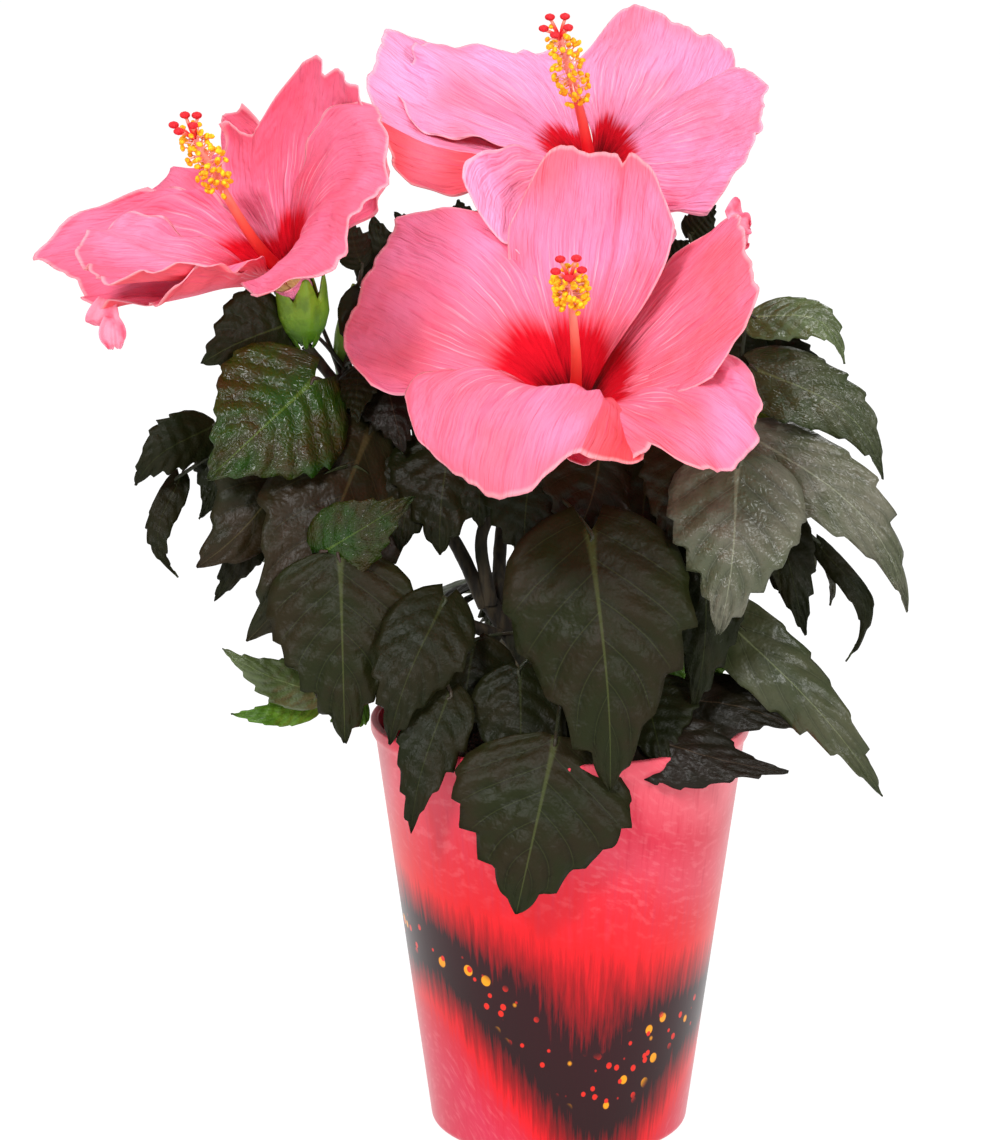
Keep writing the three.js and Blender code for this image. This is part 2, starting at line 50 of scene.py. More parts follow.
# %% [markdown]
# ## Reading a colour
#
# Colours are easiest to judge as screen values from 0 to 255, but a shader adds and mixes light, so
# it needs them linear. One helper turns the first kind into the second.

# %% Colour and number helpers
MM = 0.001


def tone(red, green, blue):
    """A linear colour from screen values."""
    channels = []
    for value in (red, green, blue):
        share = value / 255
        linear = share / 12.92 if share <= 0.04045 else ((share + 0.055) / 1.055) ** 2.4
        channels.append(linear)
    return (*channels, 1.0)


def ease(low, high, value):
    """Rises smoothly from 0 to 1 while value goes from low to high."""
    share = np.clip((value - low) / (high - low), 0, 1)
    return share * share * (3 - 2 * share)


print("a petal's pink is", [round(c, 3) for c in tone(255, 130, 175)])

# %% [markdown]
# ## Writing a finish as a formula
#
# A shader is a web of nodes, and a web is hard to read. `Wire` holds one output of that web and lets
# it take part in ordinary sums, so a pattern can be written as the formula that it is. `Finish` holds
# one material. Its method `node` adds any node, and the short ones after it add the usual kinds.


# %% Shader helpers
class Wire:
    """One output of a shader node, usable in Python expressions."""

    def __init__(self, finish, socket):
        self.finish = finish
        self.socket = socket

    def math(self, operation, *others):
        values = dict(enumerate((self, *others)))
        return self.finish.node("ShaderNodeMath", {"operation": operation}, values)

    def __add__(self, other):
        return self.math("ADD", other)

    def __radd__(self, other):
        return self.math("ADD", other)

    def __sub__(self, other):
        return self.math("SUBTRACT", other)

    def __rsub__(self, other):
        return self.finish.node("ShaderNodeMath", {"operation": "SUBTRACT"}, {0: other, 1: self})

    def __mul__(self, other):
        return self.math("MULTIPLY", other)

    def __rmul__(self, other):
        return self.math("MULTIPLY", other)

    def __truediv__(self, other):
        return self.math("DIVIDE", other)

    def __abs__(self):
        return self.math("ABSOLUTE")

    def sine(self):
        return self.math("SINE")

    def part(self):
        """What is left over the whole number below."""
        return self.math("FRACT")

    def over(self, low, high):
        """0 under low, 1 over high, and a smooth rise between."""
        settings = {"interpolation_type": "SMOOTHSTEP"}
        return self.finish.node("ShaderNodeMapRange", settings, {"Value": self, 1: low, 2: high})


class Finish:
    """One material, built around a Principled shader."""

    def __init__(self, name, **sockets):
        self.material = bpy.data.materials.new(name)
        self.material.use_nodes = True
        self.tree = self.material.node_tree
        self.shader = self.tree.nodes["Principled BSDF"]
        self.set(**sockets)

    def set(self, **sockets):
        """Sets or links sockets of the main shader; underscores in a name stand for spaces."""
        for name, value in sockets.items():
            self.plug(self.shader.inputs[name.replace("_", " ")], value)

    def plug(self, socket, value):
        if isinstance(value, Wire):
            self.tree.links.new(value.socket, socket)
        else:
            socket.default_value = value

    def node(self, kind, settings=None, values=None, output=0):
        """Adds a node: settings first, then values or links of its sockets. Returns one output."""
        added = self.tree.nodes.new(kind)
        for name, value in (settings or {}).items():
            if name == "stops":
                self.stops(added.color_ramp, value)
            else:
                setattr(added, name, value)
        for place, value in (values or {}).items():
            self.plug(added.inputs[place], value)
        return Wire(self, added.outputs[output])

    def stops(self, ramp, stops):
        while len(ramp.elements) < len(stops):
            ramp.elements.new(0.5)
        for element, (place, colour) in zip(ramp.elements, stops):
            element.position = place
            element.color = colour

    def object_place(self):
        return self.node("ShaderNodeTexCoord", output=3)

    def along(self, vector, axis):
        return self.node("ShaderNodeSeparateXYZ", values={0: vector}, output="XYZ".index(axis))

    def surface_place(self):
        """The piece's own UV map: across the surface, and along it."""
        place = self.node("ShaderNodeUVMap", {"uv_map": "lie"})
        return self.along(place, "X"), self.along(place, "Y")

    def join(self, x, y, z=0.0):
        return self.node("ShaderNodeCombineXYZ", values={0: x, 1: y, 2: z})

    def noise(self, place, scale, detail=3.0, roughness=0.5):
        values = {"Vector": place, "Scale": scale, "Detail": detail, "Roughness": roughness}
        return self.node("ShaderNodeTexNoise", values=values)

    def cells(self, place, scale, feature="F1"):
        return self.node("ShaderNodeTexVoronoi", {"feature": feature}, {"Vector": place, "Scale": scale})

    def blend(self, share, first, second):
        values = {"Factor": share, 6: first, 7: second}
        return self.node("ShaderNodeMix", {"data_type": "RGBA"}, values, output=2)

    def raised(self, height, depth):
        """A normal that shows height as relief depth metres deep."""
        self.set(Normal=self.node("ShaderNodeBump", values={"Height": height, "Distance": depth}))


print("shader helpers ready")

# %% [markdown]
# ## Camera, floor and light
#
# The plant stands on a wide white table that glows like a light table, under a dim white sky. Four
# small lamps give the dark leaves their shine. A long lens from a little above shows the plant as it
# is seen on a bench, with almost no perspective.

# %% Camera, floor and light
LENS = 132.5
SENSOR = 36
CAMERA_PLACE = (-20.9, -1411, 522)
CAMERA_TILT = 12.9
FLOOR_GLOW = 0.96
SKY_STRENGTH = 0.4
LIGHT_AIM = Vector((0, 0, 0.22))
LAMPS = {
    "key_light": ((-0.6, -1.5, 1.3), 0.34, 20),
    "fill_light": ((0.85, -1.4, 0.95), 0.34, 12),
    "top_light": ((-0.3, -0.6, 2.0), 0.5, 12),
    "back_light": ((0.6, 1.3, 1.5), 0.5, 7),
}

bpy.ops.object.select_all(action="DESELECT")
bpy.ops.object.camera_add(
    location=[c * MM for c in CAMERA_PLACE], rotation=(math.radians(90 - CAMERA_TILT), 0, 0)
)
camera = bpy.context.object
camera.data.lens = LENS
camera.data.sensor_width = SENSOR
camera.data.clip_end = 50
bpy.context.scene.camera = camera
bpy.context.scene.view_settings.view_transform = "Standard"

bpy.ops.mesh.primitive_plane_add(size=24, location=(0, 6, 0))
floor = bpy.context.object
floor.name = "floor"
floor_finish = Finish(
    "floor_pale",
    Base_Color=tone(110, 110, 110),
    Roughness=0.9,
    Specular_IOR_Level=0.0,
    Emission_Color=(1, 1, 1, 1),
    Emission_Strength=FLOOR_GLOW,
)
floor.data.materials.append(floor_finish.material)

world = bpy.data.worlds.new("soft_room")
bpy.context.scene.world = world
world.use_nodes = True
sky = world.node_tree.nodes["Background"]
sky.inputs["Color"].default_value = (1, 1, 1, 1)
sky.inputs["Strength"].default_value = SKY_STRENGTH

for name, (place, size, watts) in LAMPS.items():
    bpy.ops.object.light_add(type="AREA", location=place)
    lamp = bpy.context.object
    lamp.name = name
    lamp.data.size = size
    lamp.data.energy = watts
    lamp.rotation_euler = (LIGHT_AIM - Vector(place)).to_track_quat("-Z", "Y").to_euler()
print("camera at", tuple(camera.location), "with a", LENS, "mm lens and", len(LAMPS), "lamps")

# %% [markdown]
# ## Gathering many small surfaces
#
# A plant is made of a few kinds of surface, repeated: blades, stalks, petals, anthers. Each one here
# is a sheet of rows and columns, laid out by a formula and shaped in numbers. A `Bundle` gathers the
# sheets of one kind into one mesh, with a map of where each corner lies on its sheet.


# %% Bundles of sheets
class Bundle:
    """Gathers sheets of rows and columns into one mesh."""

    def __init__(self):
        self.corners = []
        self.quads = []
        self.lies = []
        self.tints = []
        self.count = 0

    def sheet(self, grid, tint=0, tube=False):
        """Adds rows x columns of points in millimetres. A tube's last column meets its first.

        The tint is the number of a finish, or a list with one number for each quad.
        """
        rows, columns = grid.shape[:2]
        index = np.arange(rows * columns).reshape(rows, columns) + self.count
        across = np.linspace(0, 1, columns)
        if tube:
            index = np.concatenate([index, index[:, :1]], axis=1)
            across = np.linspace(0, 1, columns + 1)
        u, v = np.meshgrid(across, np.linspace(0, 1, rows))
        steps = ((0, 0), (1, 0), (1, 1), (0, 1))
        high, wide = index.shape
        cut = [(slice(i, high - 1 + i), slice(j, wide - 1 + j)) for i, j in steps]
        self.quads.append(np.stack([index[c] for c in cut], -1).reshape(-1, 4))
        self.lies.append(np.stack([np.stack([u[c], v[c]], -1) for c in cut], -2).reshape(-1, 4, 2))
        self.tints.append(np.full((high - 1) * (wide - 1), tint))
        self.corners.append(grid.reshape(-1, 3))
        self.count += rows * columns

    def piece(self, name, finishes):
        """Makes the gathered mesh, in metres, at the origin."""
        corners = np.concatenate(self.corners) * MM
        quads = np.concatenate(self.quads)
        mesh = bpy.data.meshes.new(name)
        mesh.vertices.add(len(corners))
        mesh.vertices.foreach_set("co", corners.ravel())
        mesh.loops.add(quads.size)
        mesh.loops.foreach_set("vertex_index", quads.ravel())
        mesh.polygons.add(len(quads))
        mesh.polygons.foreach_set("loop_start", np.arange(len(quads)) * 4)
        mesh.update(calc_edges=True)
        mesh.polygons.foreach_set("material_index", np.concatenate(self.tints))
        mesh.polygons.foreach_set("use_smooth", np.ones(len(quads), bool))
        lie = mesh.uv_layers.new(name="lie")
        lie.data.foreach_set("uv", np.concatenate(self.lies).ravel())
        for finish in finishes:
            mesh.materials.append(finish.material)
        mesh.validate()
        made = bpy.data.objects.new(name, mesh)
        bpy.context.scene.collection.objects.link(made)
        return made


def use_only(piece):
    """Makes a piece the only selected and active one, as operators need."""
    bpy.ops.object.select_all(action="DESELECT")
    piece.select_set(True)
    bpy.context.view_layer.objects.active = piece


def thicken(piece, thickness, back_slot):
    """Gives sheets a thickness behind them, with another finish on the back."""
    use_only(piece)
    solidify = piece.modifiers.new("thickness", "SOLIDIFY")
    solidify.thickness = thickness * MM
    solidify.offset = -1
    solidify.material_offset = back_slot
    bpy.ops.object.modifier_apply(modifier=solidify.name)


def keep(piece, slot, *replaced):
    """Lets a finished piece ride on the plant's one body in place of frame nodes."""
    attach(piece, "root")
    if replaced:
        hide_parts(*replaced)
    triangles = sum(len(polygon.vertices) - 2 for polygon in piece.data.polygons)
    print(piece.name, triangles, "triangles")


# %% [markdown]
# ## Curves and tubes
#
# Limbs, stalks and filaments are tubes along a smooth curve. The curve goes through its points, as a
# bent wire through eyelets, and each ring of the tube stands square to it. The rings' turn is carried
# from one to the next, so that the tube doesn't twist.


# %% Curves and tubes
def unit(vectors):
    vectors = np.asarray(vectors, float)
    return vectors / np.maximum(np.linalg.norm(vectors, axis=-1, keepdims=True), 1e-9)


def smooth_path(points, count):
    """Points along a smooth curve through the given ones."""
    points = np.asarray(points, float)
    ends = [2 * points[0] - points[1], *points, 2 * points[-1] - points[-2]]
    found = []
    for share in np.linspace(0, 1, count):
        place = share * (len(points) - 1)
        i = min(int(place), len(points) - 2)
        t = place - i
        a, b, c, d = ends[i : i + 4]
        flow = 2 * b + (c - a) * t + (2 * a - 5 * b + 4 * c - d) * t**2
        found.append(0.5 * (flow + (3 * b - 3 * c + d - a) * t**3))
    return np.array(found)


def tube(path, radii, sides, relief=None):
    """Rings of points round a path, with relief(share along, angle) added to their radius."""
    path = np.asarray(path, float)
    count = len(path)
    ahead = unit(np.gradient(path, axis=0))
    side = np.array([1.0, 0, 0]) if abs(ahead[0][0]) < 0.8 else np.array([0, 1.0, 0])
    angles = -np.linspace(0, 2 * math.pi, sides, endpoint=False)
    shares = np.linspace(0, 1, count)
    radii = np.interp(shares, np.linspace(0, 1, len(radii)), radii)
    rings = []
    for i in range(count):
        side = unit(side - (side @ ahead[i]) * ahead[i])
        third = np.cross(ahead[i], side)
        radius = radii[i] + (relief(shares[i], angles) if relief else 0)
        offset = np.outer(np.cos(angles) * radius, side) + np.outer(np.sin(angles) * radius, third)
        rings.append(path[i] + offset)
    return np.array(rings)


def blob(centre, radii, turn=None, rows=5, columns=6):
    """A small closed egg with its own radii along three directions."""
    angle, height = np.meshgrid(
        -np.linspace(0, 2 * math.pi, columns, endpoint=False), np.linspace(-1, 1, rows)
    )
    ring = np.sqrt(np.maximum(1 - (0.995 * height) ** 2, 0))
    shape = np.stack([np.cos(angle) * ring, np.sin(angle) * ring, height], -1) * radii
    if turn is not None:
        shape = shape @ turn
    return shape + centre


print("curve through 3 points has", len(smooth_path([(0, 0, 0), (1, 0, 1), (2, 0, 0)], 9)), "samples")

# %% [markdown]
# ## The blooms' measurements
#
# A hibiscus bloom is a funnel of five petals that overlap like the blades of a fan. Each petal rises
# as a narrow claw, widens fast and rolls back at its rim. A row below gives one petal: where it points
# round the bloom, how far it opens and recurves, its length and width, the tilt that lays it over its
# neighbour, how its two sides fold, its drift round the funnel and its two drawn-out corners. The last
# two numbers are its ruffle and its creases. A bloom also says which petals have a fold, as a place
# across the petal and a height, and past which place a petal's margin is turned over and shows its back.

# %% Bloom measurements
BLOOMS = {
    "front": {
        "centre": (3.5, -27, 255),
        "axis": (0.02, -0.67, 0.74),
        "stalk": (0, -0.35, 0.94),
        "column_tip": (1, -83, 317),
        "anthers_from": 0.87,
        "folds": {0: (-0.3, 3.5), 1: (-0.55, 2.0), 2: (0.6, 2.2), 3: (-0.45, -3.0)},
        "turned": {2: 0.6},
        "petals": [
            [85, 65, 0, 90, 57, -0.2, 0.3, -0.2, -1, 0.04, 0.08, 0.8, 0.2],
            [154, 95, 23, 93, 76, -0.3, 0, 0.5, -11, 0.13, 0.01, 1.2, 0.1],
            [230, 30, 121, 107, 90, 0.37, -0.21, -0.89, 17, 0.11, -0.07, 1.3, 1.4],
            [309, 42, 90, 93, 77, -0.3, -0.5, 0.1, 5, -0.14, 0.02, 1.8, 2.2],
            [20, 58, -9, 82, 68, -0.2, -0.1, -0.6, 5, -0.01, 0.12, 1.0, 0.3],
        ],
    },
    "left": {
        "centre": (-89, 4, 295),
        "axis": (-0.46, -0.58, 0.67),
        "stalk": (-0.09, -0.05, 1),
        "column_tip": (-124, -38, 358),
        "anthers_from": 0.76,
        "folds": {0: (-0.1, -2.5), 1: (0.0, 2.0), 3: (0.2, 3.0)},
        "turned": {},
        "petals": [
            [61, 60, -34, 80, 85, -0.2, -0.7, 0.2, -16, 0.05, -0.26, 2.2, 0.5],
            [-4, 48, 28, 100, 84, 0, 0.1, 0, -27, 0.16, 0.03, 1.5, 0.3],
            [129, 84, 56, 87, 73, 0.2, 0.4, 0.6, 1, 0.05, 0.05, 2.8, 0.8],
            [184, 63, 2, 73, 79, 0.1, 0.2, 1, 6, 0.26, -0.13, 2.8, 1.2],
            [229, 37, -2, 86, 59, 0, 0.2, 0.3, -6, 0, 0, 2.2, 0.8],
        ],
    },
    "top": {
        "centre": (12, 58, 324),
        "axis": (-0.13, -0.645, 0.753),
        "stalk": (-0.1, -0.4, 0.9),
        "column_tip": (-2, 2, 386),
        "anthers_from": 0.64,
        "folds": {1: (-0.4, 2.5), 2: (0.3, 2.5), 3: (0.5, 2.0)},
        "turned": {3: 0.5},
        "petals": [
            [43, 96, -2, 70, 69, 0, 0.2, -0.4, 19, 0.07, 0.19, 1.6, 0.4],
            [351, 68, -22, 81, 68, 0.1, -0.4, -0.6, -4, 0.07, -0.07, 1.2, 0.4],
            [136, 88, 7, 81, 73, 0.3, -0.3, 0, 1, -0.14, 0, 2.4, 0.3],
            [172, 89, -15, 89, 74, 0.1, -0.7, -0.2, -19, 0.11, -0.08, 1.2, 0.3],
            [255, 78, 1, 79, 74, -0.2, 0.5, 0, 12, -0.03, 0, 1.2, 0.8],
        ],
    },
}


def bloom_axes(axis):
    """A bloom's own directions: level, up and back, and along its axis."""
    z = unit(axis)
    x = unit(np.array([1.0, 0, 0]) - z[0] * z)
    return np.stack([x, np.cross(z, x), z])


print("petals:", sum(len(bloom["petals"]) for bloom in BLOOMS.values()))

# %% [markdown]
# ## Shaping a petal
#
# The petal starts as a flat sheet. Its middle line leaves the funnel steeply and bends outward, the
# sheet is wrapped round the bloom's axis, one side is lifted over its neighbour, and the rim is
# ruffled. Ruffles grow towards the rim, because the rim of a petal is longer than the petal has room
# for. Fine ribs follow the veins, and creases run across where the petal was folded in the bud.


# %% Middle line of a petal
PETAL_CLAW = 0.13
PETAL_ROUND = 0.26
PETAL_ROWS = 88
PETAL_COLUMNS = 60
CLAW_RADIUS = 4
CLAW_HEIGHT = 2
CLAW_SLOPE = 8
MIDDLE_END = 1.3
MIDDLE_POINTS = 60
NO_FOLD = (0, 0)


def hill(place, centre, width):
    """1 at the centre, and smoothly down to 0 on both sides of it."""
    return np.exp(-(((place - centre) / width) ** 2))


def petal_middle(opening, curl, length):
    """Shares along a petal's middle line, with its slope, distance from the axis and height at each."""
    shares = np.linspace(0, MIDDLE_END, MIDDLE_POINTS)
    opened = (opening - CLAW_SLOPE) * (1 - np.exp(-5 * shares))
    slopes = np.radians(CLAW_SLOPE + opened + curl * shares**3)
    step = MIDDLE_END * length / (MIDDLE_POINTS - 1)
    halfway = (slopes[1:] + slopes[:-1]) / 2
    radii = np.concatenate([[CLAW_RADIUS], CLAW_RADIUS + np.cumsum(np.sin(halfway) * step)])
    heights = np.concatenate([[CLAW_HEIGHT], CLAW_HEIGHT + np.cumsum(np.cos(halfway) * step)])
    return shares, slopes, radii, heights


print("a petal's middle line ends", round(petal_middle(65, 0, 90)[3][-1], 1), "mm over the throat")


# %% Margin and relief of a petal
def petal_margin(t, phase, tips, ruffle, fold):
    """How far the rim stands past the petal's round outline, and its scallops, across the petal."""
    fold_at, fold_by = fold
    tip_left, tip_right = tips
    notch = -0.04 * abs(fold_by) / 3 * hill(t, fold_at, 0.05)
    corners = notch + tip_left * hill(t, -0.6, 0.3) + tip_right * hill(t, 0.6, 0.3)
    scallop = 0.013 * np.sin(8 * t + phase[0]) + 0.008 * np.sin(19 * t + phase[1])
    scallop = scallop + 0.006 * np.sin(43 * t + phase[3]) * np.sin(5 * t + phase[2])
    return corners, scallop * min(1, ruffle / 1.6)


def petal_relief(t, s, phase, ruffle, crease, fold):
    """How far the petal stands out of its sheet: its fold, ruffles, creases and ribs."""
    fold_at, fold_by = fold
    past_fold = fold_at - t
    folded = ease(-0.03, 0.06, past_fold) * (1 - 0.6 * ease(0, 0.5, past_fold))
    lift = fold_by * folded * ease(0.15, 0.6, s)

    end = ease(0.5, 1, s)
    waves = 0.7 * np.sin(5.2 * t + phase[2]) + 0.5 * np.sin(9.5 * t + phase[3] + 2 * s)
    frill = np.sin(21 * t + phase[7] + 5 * s) * ease(0.78, 1, s)
    frill = frill + 0.5 * np.sin(37 * t + phase[0]) * ease(0.88, 1, s)
    side_waves = np.sin(14 * s + phase[4] + 2 * np.sign(t)) + 0.5 * np.sin(31 * s + phase[5])
    side_waves = side_waves * np.abs(t) ** 4 * ease(0.25, 0.8, s)
    lift = lift + ruffle * (1.2 * end * waves + 0.45 * frill + 1.1 * side_waves)

    warp = 1.5 * np.sin(5 * s + phase[5])
    folds = np.sin(11 * t + warp + phase[6]) * np.sin(6.5 * s + 2.5 * t + phase[7])
    pleats = np.sin(19 * t + 2 * warp + phase[0]) * np.sin(11 * s + 4 * t + phase[2])
    lift = lift + crease * (1.1 * folds + 0.45 * pleats) * ease(0.3, 0.55, s) * (1 - 0.4 * end)
    ribs = np.abs(np.sin(13 * t + 1.2 * np.sin(4 * s + phase[1])))
    return lift + 0.34 * (1 - ribs) ** 2 * ease(0.12, 0.3, s) * (1 - ease(0.85, 1, s))


print("no relief at a petal's foot:", petal_relief(0.0, 0.0, np.zeros(8), 1, 1, NO_FOLD))


# %% Shaping a petal
def petal_sheet(row, seed, fold):
    """Rows and columns of a petal in the bloom's own directions, in millimetres."""
    azimuth, opening, curl, length, width, tilt, left, right, skew, *tips, ruffle, crease = row
    phase = np.random.default_rng(seed).uniform(0, 2 * math.pi, 8)
    t, s = np.meshgrid(np.linspace(-1, 1, PETAL_COLUMNS), np.linspace(0, 1, PETAL_ROWS) ** 0.8)

    shares, slopes, radii, heights = petal_middle(opening, curl, length)
    corners, scallop = petal_margin(t, phase, tips, ruffle, fold)
    reach = s * (1 - PETAL_ROUND * np.abs(t) ** 2.4 + corners + scallop * s**3)
    slope = np.interp(reach, shares, slopes)
    radius = np.interp(reach, shares, radii)
    height = np.interp(reach, shares, heights)

    spread = PETAL_CLAW + (1 - PETAL_CLAW) * np.sin(math.pi / 2 * np.minimum(1, reach / 0.74)) ** 2
    half = width / 2 * spread
    wrap = radius * (1 + 0.8 * reach**2)
    turn = t * half / wrap
    sides = left * np.maximum(0, -t - 0.15) ** 2 + right * np.maximum(0, t - 0.15) ** 2
    lift = tilt * t * half + half * sides + petal_relief(t, s, phase, ruffle, crease, fold)

    outward = radius - wrap * (1 - np.cos(turn)) - np.cos(slope) * lift
    aside = wrap * np.sin(turn)
    facing = np.radians(azimuth + skew * reach)
    return np.stack([
        outward * np.cos(facing) - aside * np.sin(facing),
        outward * np.sin(facing) + aside * np.cos(facing),
        height + np.sin(slope) * lift,
    ], -1)


print("petal sheet:", petal_sheet(BLOOMS["front"]["petals"][0], 1, NO_FOLD).shape)

# %% [markdown]
# ## The petals' colour
#
# Upper sides are a clear pink that drifts between lilac and salmon. Fine dark veins fan out from a
# crimson eye with a feathered edge, pale streaks stand between them, and a thin painted highlight lines
# the rim.
# Backs are a warmer coral. All of it follows the petal, so it is read from the sheet's own map.


# %% Petal finishes
def petal_finish(name, main, lilac, salmon, eye_depth, eye, throat):
    finish = Finish(name, Roughness=0.75, Specular_IOR_Level=0.12)
    u, v = finish.surface_place()
    bent = u + (finish.noise(finish.join(u * 2, v * 3), 2.0, 1) - 0.5) * 0.03
    fine_veins = finish.noise(finish.join(bent * 46, v * 1.6), 2.6, 3, 0.6)
    broad_veins = finish.noise(finish.join(bent * 17, v * 1.2, 7.0), 2.0, 2)
    feather = finish.noise(finish.join(u * 18, v * 2), 1.6, 3)
    body = finish.object_place()
    colour = finish.blend(finish.noise(body, 24, 2).over(0.4, 0.64), main, salmon)
    colour = finish.blend(finish.noise(body, 15, 2).over(0.45, 0.64), colour, lilac)
    spread = v.over(0.1, 0.3) * (1 - v.over(0.8, 1.0) * 0.6)
    colour = finish.blend(fine_veins.over(0.5, 0.7) * spread * 0.36, colour, tone(228, 58, 108))
    colour = finish.blend(broad_veins.over(0.56, 0.7) * spread * 0.26, colour, tone(236, 74, 120))
    swell = finish.noise(finish.join(u * 9, v * 5), 1.3, 2)
    streaks = finish.noise(finish.join(bent * 34, v * 1.1, 4.0), 2.2, 2).over(0.55, 0.68)
    near_eye = v.over(0.24, 0.36) * (1 - v.over(0.42, 0.66))
    colour = finish.blend(streaks * near_eye * 0.34, colour, tone(255, 214, 228))
    colour = finish.blend(v.over(0.88, 1.0) * 0.4, colour, salmon)
    # Painted highlight: a thin pale band along each petal's rim and along its sides.
    painted_rim_highlight = v.over(0.972, 0.992) + abs(u * 2 - 1).over(0.965, 0.99) * v.over(0.35, 0.55)
    colour = finish.blend(painted_rim_highlight.math("MINIMUM", 1.0) * 0.4, colour, tone(255, 200, 204))
    edge = v + (feather - 0.5) * 0.15
    colour = finish.blend(1 - edge.over(eye_depth * 0.78, eye_depth * 1.14), colour, eye)
    colour = finish.blend(1 - edge.over(0.05, 0.15), colour, throat)
    finish.set(Base_Color=colour)
    finish.raised(fine_veins * 0.5 + broad_veins * 0.8 + swell * 1.6, 0.0014)
    return finish


EYE = tone(222, 8, 34)
THROAT = tone(128, 0, 14)
PETAL_COLOURS = {
    "front": ((247, 118, 148), (248, 138, 180), (248, 106, 126), 0.29),
    "left": ((248, 118, 152), (249, 140, 176), (244, 98, 126), 0.27),
    "top": ((249, 150, 194), (250, 164, 210), (249, 136, 168), 0.22),
}
PETAL_FINISHES = {}
for place, (*pinks, eye_depth) in PETAL_COLOURS.items():
    pinks = [tone(*pink) for pink in pinks]
    PETAL_FINISHES[place] = petal_finish(f"petal_{place}", *pinks, eye_depth, EYE, THROAT)
BACK_PINKS = tone(246, 96, 112), tone(248, 120, 144), tone(240, 76, 84)
BACK_FOOT = tone(248, 150, 112), tone(250, 200, 130)
petal_back = petal_finish("petal_under_side", *BACK_PINKS, 0.16, *BACK_FOOT)

lobe_finish = Finish("petal_lobe", Roughness=0.75, Specular_IOR_Level=0.12)
lobe_tint = lobe_finish.noise(lobe_finish.object_place(), 130, 3)
lobe_colour = lobe_finish.blend(lobe_tint.over(0.4, 0.62), tone(252, 152, 176), tone(242, 104, 132))
lobe_finish.set(Base_Color=lobe_colour)
lobe_finish.raised(lobe_tint, 0.001)
print("petal finishes:", ", ".join(PETAL_FINISHES))

# %% [markdown]
# ## Small curled lobes
#
# Some petals end in a small crumpled lobe that curls away from the rest. A lobe is a short sheet whose
# middle line rolls up and whose sides are gathered into frills. Each row below gives a lobe's foot and
# heading, its length and width, and the angle through which it rolls.


# %% Small lobes
LOBES = {
    "front": [
        ((55, -27, 324), (0.8, 0.1, 0.3), 12, 12, 110),
        ((56, -27, 321), (0.95, 0.0, -0.1), 10, 11, 90),
    ],
    "left": [
        ((-152, -24, 297), (-0.25, -0.3, -0.9), 19, 11, 130),
        ((-151, -24, 291), (0.1, -0.5, -0.8), 12, 8, 80),
    ],
    "top": [],
}
LOBE_COLUMNS = 25
LOBE_ROWS = 22
LOBE_FRONT = np.array([0, -1.0, 0.3])


def lobe_sheet(foot, ahead, length, width, curl, seed):
    """A frilled lobe that leaves its foot ahead and rolls over by curl degrees."""
    phase = np.random.default_rng(seed).uniform(0, 2 * math.pi, 3)
    t, s = np.meshgrid(np.linspace(-1, 1, LOBE_COLUMNS), np.linspace(0, 1, LOBE_ROWS))
    ahead = unit(ahead)
    upper = unit(LOBE_FRONT - (LOBE_FRONT @ ahead) * ahead)
    aside = np.cross(ahead, upper)
    curl = math.radians(curl)
    level = length * np.sin(curl * s) / curl
    rise = length * (1 - np.cos(curl * s)) / curl
    half = width / 2 * (0.25 + 0.85 * np.sin(math.pi * (0.1 + 0.75 * s)))
    gather = 1.4 * np.sin(6 * t + phase[0]) + 0.8 * np.sin(13 * t + phase[1] + 3 * s)
    gather = s * gather + 1.6 * t**2
    spot = np.asarray(foot, float) + level[..., None] * ahead - (t * half)[..., None] * aside
    return spot + (gather - rise)[..., None] * upper


print("small lobes:", sum(len(rows) for rows in LOBES.values()))

# %% [markdown]
# ## Making the corollas
#
# The five petals of a bloom are one piece. A Solidify modifier gives the sheets their slight
# thickness and the backs their own finish, and the feet of the petals meet in the throat. Where a
# margin is turned over, the back's finish shows on the upper side.

# %% Corollas
UPPER, BACK, LOBE = range(3)
PETAL_THICKNESS = 0.35
NOT_TURNED = 2
TURNED_FROM = 0.4
THROAT_POINTS = [(0, 0, 0), (0, 0, 1), (0, 0, 4), (0, 0, 9)]
THROAT_RADII = [3.0, 5.4, 5.6, 6.4]
across, along = np.meshgrid(np.linspace(-1, 1, PETAL_COLUMNS - 1), np.linspace(0, 1, PETAL_ROWS - 1))
for number, (place, bloom) in enumerate(BLOOMS.items()):
    axes = bloom_axes(bloom["axis"])
    corolla = Bundle()
    for order, row in enumerate(bloom["petals"]):
        grid = petal_sheet(row, 10 * number + order, bloom["folds"].get(order, NO_FOLD))
        turned = (across > bloom["turned"].get(order, NOT_TURNED)) & (along > TURNED_FROM)
        corolla.sheet(grid @ axes + bloom["centre"], np.where(turned, BACK, UPPER).ravel())
    for order, row in enumerate(LOBES[place]):
        corolla.sheet(lobe_sheet(*row, 90 + order), LOBE)
    throat = tube(THROAT_POINTS, THROAT_RADII, 20)
    corolla.sheet(throat @ axes + bloom["centre"], UPPER, tube=True)
    piece = corolla.piece(f"corolla_{place}", [PETAL_FINISHES[place], petal_back, lobe_finish])
    thicken(piece, PETAL_THICKNESS, BACK)
    keep(piece, "petals", f"bloom_{place}_petals")

# %% [markdown]
# ## Columns, anthers and stigmas
#
# From the throat stands one long column. Its upper part carries a brush of anthers on short
# filaments, and it ends in five stalks with a round red stigma on each. Anthers are small things that
# repeat many times, so each is an egg of a few faces.

# %% Column finishes
column_finish = Finish("column_waxy", Roughness=0.5)
_, column_share = column_finish.surface_place()
column_finish.set(Base_Color=column_finish.node(
    "ShaderNodeValToRGB",
    {"stops": [
        (0.0, tone(200, 0, 20)),
        (0.35, tone(236, 30, 40)),
        (0.6, tone(250, 104, 84)),
        (0.8, tone(255, 164, 140)),
        (1.0, tone(255, 158, 150)),
    ]},
    {0: column_share},
))


